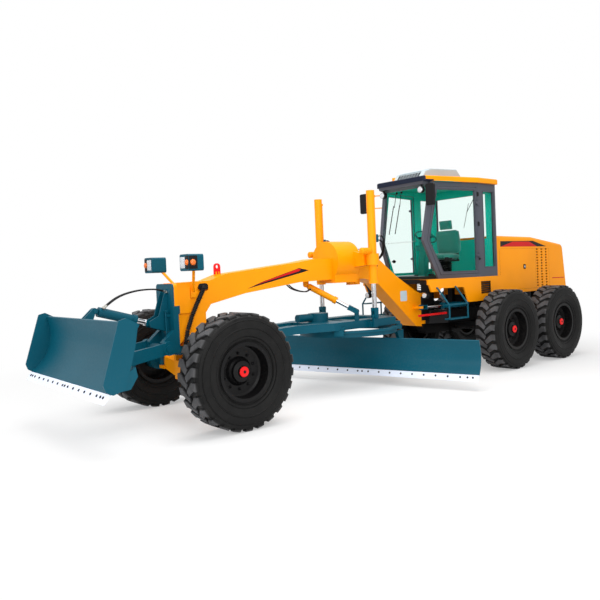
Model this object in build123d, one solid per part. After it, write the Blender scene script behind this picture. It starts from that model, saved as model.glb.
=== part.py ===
from build123d import *
import os
from math import atan2, cos, degrees, radians, sqrt, tan

# Articulated motor grader with a front dozer blade, in millimetres.
# X points forward, Y to the left and Z up. The ground is Z = 0 and X = 0 lies midway between
# the dozer blade's edge and the tail. Side outlines are lists of (X, Z) corners.

# Clearances
pin_gap = 0.5
seat_gap = 0.3
fork_gap = 2.0
slide_gap = 0.5
swing_gap = 5.0

# Wheels and axles
tyre_radius = 674.0
tyre_width = 445.0
bead_radius = 318.0
bead_width = 330.0
spindle_radius = 60.0
lug_count = 26
tread_depth = 26.0
flange_height = 22.0
front_axle_x = 3340.0
half_track = 1090.0
wheelbase = 6219.0
tandem_spacing = 1538.0
kingpin_y = 790.0
kingpin_radius = 30.0
steering_arm = 300.0
axle_pivot_z = 595.0

# Front frame
beam_half_width = 150.0
nose_x = 3600.0
nose_low_z = 915.0
nose_top_z = 1710.0
beam_top_z = 1960.0
eye_place = (2900.0, 1900.0)
lifting_hole_radius = 24.0
artic_x = -1110.0
artic_low_z = 810.0
artic_high_z = 1340.0
artic_pin_radius = 45.0
ear_radius = 90.0
ear_thickness = 55.0

# Saddle and lift cylinders
lift_x = 590.0
lift_y = 600.0
trunnion_z = 1930.0
lift_eye_z = 1080.0
lift_barrel_radius = 62.0
lift_rod_radius = 35.0
lift_barrel_low_z = 1570.0
lift_barrel_top_z = 2950.0
lug_thickness = 40.0
eye_radius = 40.0

# Drawbar and circle
ball_x = 3480.0
ball_z = 880.0
ball_radius = 60.0
circle_x = 590.0
circle_radius = 790.0
circle_inner_radius = 690.0
circle_low_z = 810.0
circle_height = 90.0
drawbar_low_z = 920.0
drawbar_height = 115.0
shift_base = (1320.0, -100.0, 1590.0)
shift_eye = (840.0, 470.0, 1170.0)
shift_lug_offset = 9.6
shift_lug_half = 9.0
shift_fork_half = 34.0

# Moldboard, in the circle's own axes: first figure backwards or forwards of the circle's centre
blade_angle = 15.0
blade_length = 3965.0
blade_offset = 60.0
blade_low_z = 140.0
blade_top_z = 712.0
blade_radius = 430.0
blade_thickness = 20.0
tilt_back = -500.0
tilt_z = 360.0
leg_y = 620.0
leg_thickness = 50.0

# Dozer blade
head_half_width = 220.0
dozer_pivot_x = 3790.0
dozer_pivot_z = 930.0
dozer_width = 2500.0
dozer_low_z = 570.0
dozer_edge_x = 4990.0
dozer_top_z = 1345.0
dozer_plate_x = 4700.0
dozer_arm_y = 280.0
dozer_lug = (4560.0, 0.0, 1430.0)
dozer_eye = (3830.0, 0.0, 1215.0)

# Rear frame, body and cab
rail_inner_y = 180.0
rail_outer_y = 280.0
rail_low_z = 800.0
rail_top_z = 1030.0
tail_x = -4995.0
weight_x = tail_x + 100
bolt_spacing_y = 440.0
bolt_spacing_z = 120.0
bolt_z = 960.0
bolt_depth = 60.0
bolt_hole_radius = 12.0
tow_z = 960.0
tow_height = 120.0
tow_plate = 25.0
tow_hole_radius = 20.0
deck_z = 1580.0
deck_thickness = 80.0
skirt_y = 740.0
skirt_thickness = 30.0
wing_inner_y = 560.0
hood_front_x = -2550.0
hood_half_width = 620.0
hood_low_z = 1240.0
hood_wall = 20.0
cab_low_z = deck_z
cab_top_z = 3190.0
cab_front_half = 500.0
cab_rear_half = 735.0
post = 60.0
door_hinge_x = -1840.0
door_gap = 6.0
glass_thickness = 8.0

# Articulation cylinders
artic_base = (-1900.0, 420.0)
artic_eye = (-810.0, 290.0)
artic_cylinder_z = 1115.0

tandem_x = front_axle_x - wheelbase
mid_axle_x = tandem_x + tandem_spacing / 2
rear_axle_x = tandem_x - tandem_spacing / 2
wheel_z = tyre_radius

nodes = {}


# Basic forms
def block(x_pair, y_pair, z_pair):
    return Solid.make_box(
        x_pair[1] - x_pair[0],
        y_pair[1] - y_pair[0],
        z_pair[1] - z_pair[0],
        Plane(origin=(x_pair[0], y_pair[0], z_pair[0])),
    )


def side_prism(corners, y_low, y_high):
    face = Face(Wire.make_polygon([(x, y_low, z) for x, z in corners], close=True))
    return Solid.extrude(face, Vector(0, y_high - y_low, 0))


def plan_prism(corners, z_low, z_high):
    face = Face(Wire.make_polygon([(x, y, z_low) for x, y in corners], close=True))
    return Solid.extrude(face, Vector(0, 0, z_high - z_low))


def front_prism(corners, x_low, x_high):
    face = Face(Wire.make_polygon([(x_low, y, z) for y, z in corners], close=True))
    return Solid.extrude(face, Vector(x_high - x_low, 0, 0))


def bar(start, end, radius):
    start = Vector(*start)
    span = Vector(*end) - start
    return Solid.make_cylinder(radius, span.length, Plane(origin=start, z_dir=span))


def joined(*shapes):
    whole = Part() + [shape for shape in shapes]
    return whole.clean()


def mirrored(shape):
    return shape.mirror(Plane.XZ)


def both_sides(shape):
    return joined(shape, mirrored(shape))


def rounded(shape, radius, axis, place):
    # The same solid with the edges along an axis rounded where place(centre) holds
    edges = [edge for edge in shape.edges().filter_by(axis) if place(edge.center())]
    return shape.fillet(radius, edges)


# Wheels: each turns on a stub that ends under its hub cap
def turned(outline, x, y, side):
    face = Face(Wire.make_polygon([(x + r, y + side * w, wheel_z) for r, w in outline], close=True))
    return Solid.revolve(face, 360, Axis((x, y, wheel_z), (0, 1, 0)))


def tyre_body():
    # Casing about the Y axis: beads, round sidewalls and a flat base under the tread
    half = tyre_width / 2
    base = tyre_radius - tread_depth
    bead = (bead_radius, bead_width / 2)
    toe = (bead_radius + 30, bead_width / 2)
    shoulder = (base - 22, half - 14)
    belly = (bead_radius + 175, half)
    crown_edge = (base, half - 60)
    edges = []
    for side in (1, -1):
        at = [Vector(r, side * w, 0) for r, w in (bead, toe, belly, shoulder, crown_edge)]
        edges.append(Line(at[0], at[1]))
        edges.append(ThreePointArc(at[1], at[2], at[3]))
        edges.append(Line(at[3], at[4]))
    edges.append(Line((bead[0], bead[1], 0), (bead[0], -bead[1], 0)))
    edges.append(Line((crown_edge[0], crown_edge[1], 0), (crown_edge[0], -crown_edge[1], 0)))
    return Solid.revolve(Face(Wire(edges)), 360, Axis((0, 0, 0), (0, 1, 0)))


def tread_lugs():
    # Bent bars from each shoulder to just past the middle, the two sides half a pitch apart
    half = tyre_width / 2
    low = tyre_radius - 2 * tread_depth
    plan = [(-46, half), (50, half), (46, 130), (118, 12), (64, -14), (-46, 112)]
    bar_blank = plan_prism(plan, low, tyre_radius + 10)
    section = [
        (-20, low),
        (-20, tyre_radius),
        (half - 45, tyre_radius),
        (half - 4, tyre_radius - 95),
        (half - 30, low - 60),
    ]
    lug = bar_blank & front_prism(section, -60, 130)
    lug = lug & Solid.make_cylinder(tyre_radius, 2 * half, Plane(origin=(0, -half, 0), z_dir=(0, 1, 0)))
    pitch = 360 / lug_count
    lugs = []
    for number in range(lug_count):
        lugs.append(Location((0, 0, 0), (0, number * pitch, 0)) * lug)
        lugs.append(Location((0, 0, 0), (0, (number + 0.5) * pitch, 0)) * mirrored(lug))
    return lugs


def rim_of(x, side):
    y = side * half_track
    barrel = bead_radius - seat_gap
    inner = barrel - 18
    hub = spindle_radius + pin_gap
    edge = bead_width / 2
    outline = [
        (hub, -50),
        (150, -50),
        (150, -10),
        (inner - 30, 10),
        (inner, -20),
        (inner, -edge - 14),
        (barrel + flange_height, -edge - 14),
        (barrel + flange_height, -edge - seat_gap - 1),
        (barrel, -edge - seat_gap - 1),
        (barrel, edge + seat_gap + 1),
        (barrel + flange_height, edge + seat_gap + 1),
        (barrel + flange_height, edge + 14),
        (inner, edge + 14),
        (inner - 12, 40),
        (inner - 40, 28),
        (170, 14),
        (150, 40),
        (128, 60),
        (120, 92),
        (70, 108),
        (62, 128),
        (1, 128),
        (1, 72),
        (hub, 72),
    ]
    return turned(outline, x, y, side)


whole_tyre = joined(tyre_body(), *tread_lugs())
wheel_places = (
    # name, X of the axle, side
    ("front_left", front_axle_x, 1),
    ("front_right", front_axle_x, -1),
    ("mid_left", mid_axle_x, 1),
    ("mid_right", mid_axle_x, -1),
    ("rear_left", rear_axle_x, 1),
    ("rear_right", rear_axle_x, -1),
)
for name, x, side in wheel_places:
    facing = whole_tyre if side > 0 else mirrored(whole_tyre)
    nodes["tyre_" + name] = Location((x, side * half_track, wheel_z)) * facing
    nodes["rim_" + name] = rim_of(x, side)

stub_end = half_track + 60


# Front frame: nose and beam in one box section, welded to the gooseneck at a seam
neck_seam_x = 300.0
neck_bottom = nose_low_z + 355
frame_outline = [
    (nose_x, nose_low_z),
    (nose_x, nose_top_z),
    (nose_x - 490, nose_top_z + 12),
    (nose_x - 730, nose_top_z + 90),
    (nose_x - 1990, beam_top_z - 30),
    (nose_x - 2270, beam_top_z + 10),
    (30, beam_top_z),
    (-400, 1650),
    (-850, 1390),
    (artic_x + 135, artic_high_z),
    (artic_x + 135, artic_low_z - 30),
    (-830, 800),
    (40, 1550),
    (320, 1640),
    (850, 1660),
    (1630, 1640),
    (2570, 1530),
    (3100, 1420),
    (3215, neck_bottom),
]
beam = side_prism(frame_outline, -beam_half_width, beam_half_width)
conduit_hole = joined(
    block((3163, 3257), (beam_half_width - 25, beam_half_width + 5), (1592, 1658)),
    bar((3163, beam_half_width - 25, 1625), (3163, beam_half_width + 5, 1625), 33),
    bar((3257, beam_half_width - 25, 1625), (3257, beam_half_width + 5, 1625), 33),
)
beam -= both_sides(conduit_hole)

ears = []
for z in (artic_low_z, artic_high_z - ear_thickness):
    arm = block((artic_x, artic_x + 140), (-ear_radius, ear_radius), (z, z + ear_thickness))
    ears.append(arm)
    ears.append(bar((artic_x, 0, z), (artic_x, 0, z + ear_thickness), ear_radius))
artic_pin = bar((artic_x, 0, artic_low_z), (artic_x, 0, artic_high_z), artic_pin_radius)

cheek = block((front_axle_x - 160, front_axle_x + 160), (110, beam_half_width), (720, 1320))
cheek -= side_prism([(3500, 1010), (3700, 830), (3700, 1400), (3500, 1400)], 0, 300)
axle_plates = []
for x in (front_axle_x - 160, front_axle_x + 120):
    axle_plates.append(block((x, x + 40), (-beam_half_width, beam_half_width), (480, 722)))
axle_pin = bar((front_axle_x - 160, 0, axle_pivot_z), (front_axle_x + 170, 0, axle_pivot_z), 40)
ball_neck = bar((ball_x, 0, ball_z), (ball_x, 0, 1100), 30)
ball = Solid.make_sphere(ball_radius, Plane(origin=(ball_x, 0, ball_z)))

artic_lug_z = (artic_cylinder_z - lug_thickness / 2, artic_cylinder_z + lug_thickness / 2)
artic_lugs = both_sides(
    joined(
        block(
            (artic_eye[0] - eye_radius, artic_eye[0] + eye_radius),
            (beam_half_width - 10, artic_eye[1]),
            artic_lug_z,
        ),
        bar(
            (artic_eye[0], artic_eye[1], artic_lug_z[0]),
            (artic_eye[0], artic_eye[1], artic_lug_z[1]),
            eye_radius,
        ),
    )
)

shift_line = Vector(*shift_eye) - Vector(*shift_base)
shift_normal = Vector(-shift_line.Y, shift_line.X, 0).normalized()
shift_heading = Vector(shift_line.X, shift_line.Y, 0).normalized()


def shift_plate(point, length_down, half_thickness, radius):
    # A plate whose flat sides face along the shift cylinder's pin
    place = Plane(origin=point, x_dir=shift_heading, z_dir=shift_normal)
    disc = Solid.make_cylinder(radius, 2 * half_thickness, place.offset(-half_thickness))
    low = min(0, length_down)
    web_plane = Plane(
        origin=Vector(*point) - shift_heading * radius - shift_normal * half_thickness + Vector(0, 0, low),
        x_dir=shift_heading,
        z_dir=(0, 0, 1),
    )
    web = Solid.make_box(2 * radius, 2 * half_thickness, abs(length_down), web_plane)
    return joined(disc, web)


shift_fork = []
for offset in (-1, 1):
    centre = Vector(*shift_base) + shift_normal * offset * (lug_thickness / 2 + pin_gap + 10)
    shift_fork.append(shift_plate((centre.X, centre.Y, centre.Z), 70, 10, 36))
shift_pin = Solid.make_cylinder(
    20,
    lug_thickness + 2 * pin_gap + 40,
    Plane(
        origin=Vector(*shift_base) - shift_normal * (lug_thickness / 2 + pin_gap + 20),
        z_dir=shift_normal,
    ),
)
lifting_eye = joined(
    block((eye_place[0] - 45, eye_place[0] + 45), (-15, 15), (eye_place[1] - 130, eye_place[1])),
    bar((eye_place[0], -15, eye_place[1]), (eye_place[0], 15, eye_place[1]), 45),
)
lifting_eye -= bar((eye_place[0], -30, eye_place[1]), (eye_place[0], 30, eye_place[1]), lifting_hole_radius)
neck_side = block((artic_x, neck_seam_x), (-beam_half_width, beam_half_width), (0, 3000))
nodes["gooseneck"] = joined(beam & neck_side, *ears, artic_pin, artic_lugs)
nodes["front_frame"] = joined(
    beam - neck_side,
    lifting_eye,
    cheek,
    mirrored(cheek),
    *axle_plates,
    axle_pin,
    ball_neck,
    ball,
    *shift_fork,
    shift_pin,
)

# Saddle: a cast yoke round the beam with an arm to each lift cylinder
arm_end_y = lift_y - 100
yoke = joined(
    bar((lift_x - 40, 0, trunnion_z), (lift_x + 420, 0, trunnion_z), 300),
    block((lift_x - 40, lift_x + 420), (-215, 215), (1600, trunnion_z)),
)
arm = front_prism(
    [
        (0, trunnion_z - 120),
        (arm_end_y, trunnion_z - 85),
        (arm_end_y, trunnion_z + 85),
        (0, trunnion_z + 190),
    ],
    lift_x - 85,
    lift_x + 85,
)
trunnion = bar((lift_x, arm_end_y - 20, trunnion_z), (lift_x, lift_y - 70, trunnion_z), 40)
arm_gusset = side_prism([(lift_x + 70, 1960), (lift_x + 70, 1770), (lift_x + 360, 1855)], 200, 225)
arm_flange = bar((lift_x, arm_end_y - 30, trunnion_z), (lift_x, arm_end_y, trunnion_z), 92)
hanging_lug = block((lift_x - 250, lift_x - 40), (-45, 45), (1555, 1930))
lock_pin = bar((lift_x - 145, -70, 1600), (lift_x - 145, 70, 1600), 26)
saddle = joined(yoke, both_sides(arm), both_sides(trunnion), both_sides(arm_gusset), both_sides(arm_flange))
nodes["saddle"] = joined(saddle, hanging_lug, lock_pin) - beam

# Front axle: an arched beam held by the pin between the frame's two plates
axle_half_depth = 119.5
axle_outline = [
    (0, axle_pivot_z - 95),
    (330, axle_pivot_z - 95),
    (kingpin_y - 90, wheel_z - 70),
    (kingpin_y - 90, wheel_z + 70),
    (330, axle_pivot_z + 95),
    (0, axle_pivot_z + 95),
]
half_axle = front_prism(axle_outline, front_axle_x - 80, front_axle_x + 80)
waist = [
    (front_axle_x + 80, 0),
    (front_axle_x + 80, kingpin_y - 230),
    (front_axle_x + 33, kingpin_y - 90),
    (front_axle_x - 33, kingpin_y - 90),
    (front_axle_x - 80, kingpin_y - 230),
    (front_axle_x - 80, 0),
]
half_axle = half_axle & plan_prism(waist, 400, 900)
centre_boss = block(
    (front_axle_x - axle_half_depth, front_axle_x + axle_half_depth),
    (-120, 120),
    (500, 690),
)
axle = joined(both_sides(half_axle), centre_boss)
axle -= bar((front_axle_x - 200, 0, axle_pivot_z), (front_axle_x + 200, 0, axle_pivot_z), 40 + pin_gap)
boss_half = 80
for z in (wheel_z - boss_half - 45, wheel_z + boss_half + pin_gap):
    low = z
    high = z + 45 - pin_gap
    ear = joined(
        block((front_axle_x - 55, front_axle_x + 55), (kingpin_y - 130, kingpin_y), (low, high)),
        bar((front_axle_x, kingpin_y, low), (front_axle_x, kingpin_y, high), 55),
    )
    axle = joined(axle, both_sides(ear))
gusset = block(
    (front_axle_x - 33, front_axle_x + 33),
    (kingpin_y - 130, kingpin_y - 90),
    (wheel_z - 125, wheel_z + 125),
)
kingpin = bar(
    (front_axle_x, kingpin_y, wheel_z - 100),
    (front_axle_x, kingpin_y, wheel_z + 100),
    kingpin_radius,
)
nodes["front_axle"] = joined(axle, both_sides(gusset), both_sides(kingpin))

# Steering: a knuckle each side and a tie rod behind the axle
tie_z = wheel_z - 45
tie_x = front_axle_x - steering_arm
knuckle = joined(
    bar((front_axle_x, kingpin_y, wheel_z - boss_half), (front_axle_x, kingpin_y, wheel_z + boss_half), 58),
    bar((front_axle_x, kingpin_y, wheel_z), (front_axle_x, stub_end, wheel_z), spindle_radius),
    bar((front_axle_x, half_track - 215, wheel_z), (front_axle_x, half_track - 60, wheel_z), 150),
    block((tie_x, front_axle_x - 30), (kingpin_y - 25, kingpin_y + 25), (tie_z - 15, tie_z + 15)),
    bar((tie_x, kingpin_y, tie_z - 15), (tie_x, kingpin_y, tie_z + 15), 32),
)
knuckle -= bar(
    (front_axle_x, kingpin_y, 0),
    (front_axle_x, kingpin_y, wheel_z + 200),
    kingpin_radius + pin_gap,
)
nodes["knuckle_left"] = knuckle
nodes["knuckle_right"] = mirrored(knuckle)

arm_half = 15.0
tie_end = [block((tie_x - 15, tie_x + 15), (kingpin_y - 110, kingpin_y - 73), (tie_z - 36, tie_z + 36))]
for low in (tie_z - arm_half - pin_gap - 20, tie_z + arm_half + pin_gap):
    tie_end.append(bar((tie_x, kingpin_y, low), (tie_x, kingpin_y, low + 20), 30))
    tie_end.append(block((tie_x - 15, tie_x + 15), (kingpin_y - 80, kingpin_y), (low, low + 20)))
tie_tube = bar((tie_x, -kingpin_y + 100, tie_z), (tie_x, kingpin_y - 100, tie_z), 24)
nodes["tie_rod"] = joined(tie_tube, both_sides(joined(*tie_end)))

# Dozer head plate on the nose
head_front = block((nose_x, nose_x + 70), (-head_half_width, head_half_width), (860, 1705))
head_front = rounded(head_front, 45, Axis.X, lambda centre: centre.Z > 1500)
head_cheek = block((nose_x - 190, nose_x), (beam_half_width, beam_half_width + 30), (1330, 1700))
head_rib = side_prism(
    [(3665, 1660), (3720, 1545), (3792, 1316), (3926, 1253), (3900, 1185), (3665, 1110)],
    58,
    72,
)
rod_stand = joined(
    bar((3722, 118, 950), (3722, 118, 1370), 9),
    bar((3722, 78, 1370), (3722, 158, 1370), 9),
    block((3665, 3722), (112, 124), (1080, 1110)),
    block((3665, 3722), (112, 124), (1300, 1330)),
)
pivot_reach = dozer_arm_y + 50
pivot_tube = bar(
    (dozer_pivot_x, -pivot_reach, dozer_pivot_z),
    (dozer_pivot_x, pivot_reach, dozer_pivot_z),
    45,
)
pivot_holder = side_prism(
    [
        (nose_x + 65, dozer_pivot_z - 65),
        (dozer_pivot_x + 40, dozer_pivot_z - 65),
        (dozer_pivot_x + 40, dozer_pivot_z + 65),
        (nose_x + 65, dozer_pivot_z + 210),
    ],
    140,
    dozer_arm_y - 60,
)
anchor_lug = side_prism(
    [
        (nose_x + 60, dozer_eye[2] - 100),
        (dozer_eye[0] + 20, dozer_eye[2] - 38),
        (dozer_eye[0] + 38, dozer_eye[2]),
        (dozer_eye[0] + 20, dozer_eye[2] + 38),
        (nose_x + 60, dozer_eye[2] + 100),
    ],
    -lug_thickness / 2,
    lug_thickness / 2,
)
nodes["head_plate"] = joined(
    head_front,
    both_sides(head_cheek),
    pivot_tube,
    both_sides(pivot_holder),
    both_sides(head_rib),
    rod_stand,
    anchor_lug,
)

# Dozer: two push arms, the curved blade, its edge and the lift cylinder
arm_eye = bar(
    (dozer_pivot_x, dozer_arm_y - 40, dozer_pivot_z),
    (dozer_pivot_x, dozer_arm_y + 40, dozer_pivot_z),
    85,
)
push_arm = side_prism(
    [
        (dozer_pivot_x, dozer_pivot_z - 70),
        (dozer_plate_x + 40, 700),
        (dozer_plate_x - 20, 880),
        (dozer_pivot_x, dozer_pivot_z + 70),
    ],
    dozer_arm_y - 30,
    dozer_arm_y + 30,
)
push_arms = both_sides(joined(arm_eye, push_arm))
push_arms -= bar((dozer_pivot_x, -600, dozer_pivot_z), (dozer_pivot_x, 600, dozer_pivot_z), 45 + pin_gap)
cross_tube = bar((4250, -dozer_arm_y, 820), (4250, dozer_arm_y, 820), 60)


def curved_plate(low, middle, top, thickness, half_length):
    # A bent plate: an arc through three (X, Z) points, thickened backwards
    outer = ThreePointArc((low[0], 0, low[1]), (middle[0], 0, middle[1]), (top[0], 0, top[1]))
    centre = outer.arc_center
    scale = (outer.radius + thickness) / outer.radius
    moved = []
    for point in (low, middle, top):
        moved.append(
            (centre.X + (point[0] - centre.X) * scale, 0, centre.Z + (point[1] - centre.Z) * scale)
        )
    inner = ThreePointArc(*moved)
    ends = [Line(outer @ 0, inner @ 0), Line(outer @ 1, inner @ 1)]
    face = Face(Wire([outer, inner] + ends))
    return Solid.extrude(face, Vector(0, 2 * half_length, 0)).moved(Location((0, -half_length, 0)))


dozer_face_low = (4925.0, 668.0)
dozer_face_mid = (4690.0, 980.0)
dozer_face_top = (dozer_plate_x + 10, dozer_top_z)
dozer_plate = curved_plate(dozer_face_low, dozer_face_mid, dozer_face_top, 20, dozer_width / 2)
dozer_side = side_prism(
    [
        (4890, 650),
        (4960, 690),
        (4985, 760),
        (4800, 1375),
        (4720, 1395),
        (4600, 1330),
        (4640, 1100),
        (4760, 690),
    ],
    dozer_width / 2,
    dozer_width / 2 + 20,
)
dozer_side = rounded(dozer_side, 22, Axis.Y, lambda centre: centre.X > 4600)
top_lip = side_prism(
    [(4590, 1290), (4700, 1310), (4700, 1345), (4575, 1320)],
    -dozer_width / 2,
    dozer_width / 2,
)
lower_box = side_prism(
    [(4700, 680), (4900, 660), (4790, 800), (4640, 900), (4620, 800)],
    -dozer_width / 2,
    dozer_width / 2,
)
back_rib = side_prism(
    [(4660, 850), (4700, 820), (4700, 1320), (4600, 1310), (4585, 1150)],
    dozer_arm_y - 12,
    dozer_arm_y + 12,
)
fork_low = lug_thickness / 2 + pin_gap
barrel_fork = joined(
    side_prism(
        [(4560, 1396), (4600, 1295), (4690, 1305), (4702, 1345), (4590, 1450), (4560, 1464)],
        fork_low,
        fork_low + 20,
    ),
    bar((dozer_lug[0], fork_low, dozer_lug[2]), (dozer_lug[0], fork_low + 20, dozer_lug[2]), 34),
)
barrel_pin = bar((dozer_lug[0], -50, dozer_lug[2]), (dozer_lug[0], 50, dozer_lug[2]), 22)
rest_of_blade = joined(
    lower_box,
    top_lip,
    both_sides(back_rib),
    both_sides(barrel_fork),
    barrel_pin,
    push_arms,
    cross_tube,
)
face_void = curved_plate(dozer_face_low, dozer_face_mid, dozer_face_top, -200, dozer_width / 2)
dozer_edge = side_prism(
    [
        (dozer_face_low[0] + 2, dozer_face_low[1] - 2),
        (dozer_edge_x, dozer_low_z),
        (dozer_edge_x - 16, dozer_low_z),
        (dozer_face_low[0] - 22, dozer_face_low[1] - 16),
    ],
    -dozer_width / 2,
    dozer_width / 2,
)
nodes["dozer_edge"] = dozer_edge
nodes["dozer_blade"] = joined(dozer_plate, both_sides(dozer_side), rest_of_blade - face_void) - dozer_edge


def cylinder_pair(base, eye, normal, sizes):
    # A barrel pinned at its base and a rod whose fork sits over a lug at the eye
    barrel_radius, rod_radius, barrel_length, rod_start, fork_depth, pin_radius, fork_half = sizes
    normal = Vector(*normal).normalized()
    line = (Vector(*eye) - Vector(*base)).normalized()
    total = (Vector(*eye) - Vector(*base)).length
    place = Plane(origin=base, x_dir=line, z_dir=normal)

    def along(x_low, x_high, y_half, z_low, z_high):
        origin = place.from_local_coords(Vector(x_low, -y_half, z_low))
        return Solid.make_box(
            x_high - x_low, 2 * y_half, z_high - z_low, Plane(origin=origin, x_dir=line, z_dir=normal)
        )

    def disc(x, radius, z_low, z_high):
        origin = place.from_local_coords(Vector(x, 0, z_low))
        return Solid.make_cylinder(radius, z_high - z_low, Plane(origin=origin, x_dir=line, z_dir=normal))

    def shaft(x_low, x_high, radius):
        origin = place.from_local_coords(Vector(x_low, 0, 0))
        return Solid.make_cylinder(radius, x_high - x_low, Plane(origin=origin, z_dir=line))

    half_lug = lug_thickness / 2
    neck = eye_radius + 6
    barrel = joined(
        disc(0, 36, -half_lug, half_lug),
        along(0, neck + 4, 30, -half_lug, half_lug),
        shaft(neck, barrel_length, barrel_radius),
        shaft(barrel_length - 50, barrel_length, barrel_radius + 7),
    )
    barrel -= disc(0, pin_radius + pin_gap, -60, 60)
    barrel -= shaft(
        rod_start - 200 if rod_start - 200 > neck + 20 else neck + 20,
        barrel_length + 10,
        rod_radius + pin_gap,
    )
    cheek_low = fork_half
    cheek_high = cheek_low + 14
    crown = total - fork_depth
    parts = [shaft(rod_start, crown + 10, rod_radius), along(crown - 30, crown, 38, -cheek_high, cheek_high)]
    for low, high in ((cheek_low, cheek_high), (-cheek_high, -cheek_low)):
        parts.append(along(crown - 30, total, 34, low, high))
        parts.append(disc(total, 36, low, high))
    parts.append(disc(total, 20, cheek_high, cheek_high + 8))
    parts.append(disc(total, 20, -cheek_high - 8, -cheek_high))
    return barrel, joined(*parts)


close_fork = lug_thickness / 2 + fork_gap
dozer_sizes = (58, 32, 520, 300, 90, 22, close_fork)
nodes["dozer_barrel"], nodes["dozer_rod"] = cylinder_pair(dozer_lug, dozer_eye, (0, 1, 0), dozer_sizes)

# Drawbar: an A-frame under the beam, cut from its plan and its side outline
drawbar_top_z = drawbar_low_z + drawbar_height
plan = [
    (ball_x - 60, -80),
    (ball_x - 60, 80),
    (3000, 95),
    (1560, 420),
    (1330, 520),
    (60, 520),
    (-40, 380),
    (-40, -380),
    (60, -520),
    (1330, -520),
    (1560, -420),
    (3000, -95),
]
side = [
    (ball_x, ball_z - 55),
    (ball_x, ball_z + 35),
    (2900, 960),
    (1900, drawbar_top_z),
    (-40, drawbar_top_z),
    (-40, drawbar_low_z),
    (1900, drawbar_low_z),
    (2900, 850),
]
drawbar = plan_prism(plan, 700, 1200) & side_prism(side, -600, 600)
drawbar -= plan_prism([(2560, 0), (1620, 250), (1500, 250), (1500, -250), (1620, -250)], 700, 1200)
drawbar -= plan_prism([(1010, 300), (160, 300), (160, -300), (1010, -300)], 700, 1200)
cup = bar((ball_x, 0, ball_z - 70), (ball_x, 0, ball_z + 35), 92)
cup_boss = bar((ball_x, -103, ball_z), (ball_x, 103, ball_z), 33)
lift_beam = block((lift_x - 80, lift_x + 80), (-lift_y + 20, lift_y - 20), (drawbar_low_z, 1005))
lift_lug = joined(
    block(
        (lift_x - eye_radius, lift_x + eye_radius),
        (lift_y - lug_thickness / 2, lift_y + lug_thickness / 2),
        (drawbar_low_z, lift_eye_z),
    ),
    bar(
        (lift_x, lift_y - lug_thickness / 2, lift_eye_z),
        (lift_x, lift_y + lug_thickness / 2, lift_eye_z),
        eye_radius,
    ),
)
shift_lug_place = Vector(*shift_eye) + shift_normal * shift_lug_offset
shift_lug = shift_plate(
    (shift_lug_place.X, shift_lug_place.Y, shift_lug_place.Z),
    drawbar_top_z - shift_eye[2] - 20,
    shift_lug_half,
    34,
)
shoes = []
pads = []
flange_radius = circle_radius - 35
flange_z = circle_low_z + 60
shoe_low_z = flange_z - 32
for angle in (38, 142, 218, 322):
    outer = bar((0, 0, shoe_low_z), (0, 0, drawbar_low_z), circle_radius + 45)
    inner = bar(
        (0, 0, shoe_low_z),
        (0, 0, circle_low_z + circle_height + slide_gap),
        circle_radius + slide_gap,
    )
    lip = bar((0, 0, shoe_low_z), (0, 0, flange_z - slide_gap), circle_radius + 45)
    lip -= bar((0, 0, 830), (0, 0, 870), flange_radius + swing_gap)
    wedge = block((flange_radius - 10, circle_radius + 60), (-70, 70), (shoe_low_z, drawbar_low_z))
    pad = block((640, circle_radius + 20), (-85, 85), (drawbar_low_z, drawbar_low_z + 45))
    pad = pad & bar((0, 0, shoe_low_z), (0, 0, 1200), circle_radius + 45)
    place = Location((circle_x, 0, 0), (0, 0, angle))
    shoes.append(place * joined((outer - inner) & wedge, lip & wedge))
    pads.append(place * pad)
drawbar = joined(drawbar, cup, cup_boss, lift_beam, both_sides(lift_lug), shift_lug, *pads)
drawbar -= Solid.make_sphere(ball_radius + pin_gap, Plane(origin=(ball_x, 0, ball_z)))
nodes["drawbar"] = drawbar
nodes["circle_shoes"] = Compound(children=shoes)

gearbox = bar((1190, 0, drawbar_top_z), (1190, 0, 1160), 150)
motor = bar((1190, 0, 1105), (1590, 0, 1105), 58)
nodes["circle_drive"] = joined(gearbox, motor)

# Circle: the ring with its flange and the two legs that carry the moldboard
ring = bar((0, 0, circle_low_z), (0, 0, circle_low_z + circle_height), flange_radius)
flange = bar((0, 0, flange_z), (0, 0, circle_low_z + circle_height), circle_radius)
ring = joined(ring, flange) - bar((0, 0, 0), (0, 0, 2000), circle_inner_radius)
leg_low = leg_y - leg_thickness / 2
leg_high = leg_y + leg_thickness / 2
leg = side_prism(
    [
        (tilt_back - 60, tilt_z - 20),
        (tilt_back - 30, tilt_z - 55),
        (tilt_back + 25, tilt_z - 55),
        (tilt_back + 45, tilt_z),
        (tilt_back + 40, 690),
        (tilt_back + 90, 790),
        (tilt_back + 90, circle_low_z + 5),
        (tilt_back - 110, circle_low_z + 5),
        (tilt_back - 110, 700),
    ],
    leg_low,
    leg_high,
)
tilt_pin = bar((tilt_back, leg_low - 45, tilt_z), (tilt_back, leg_high + 10, tilt_z), 25)
ring_and_legs = joined(ring, both_sides(joined(leg, tilt_pin)))
circle_place = Location((circle_x, 0, 0), (0, 0, blade_angle))
nodes["circle"] = circle_place * ring_and_legs

# Moldboard carrier: two brackets on a tilting tube, with jaws round the moldboard's rails
rail_heights = (300.0, 620.0)


def board_back(z):
    # Distance of the moldboard's back behind the circle's centre at height z
    return board_centre[0] - sqrt((blade_radius + blade_thickness) ** 2 - (z - board_centre[1]) ** 2)


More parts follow.
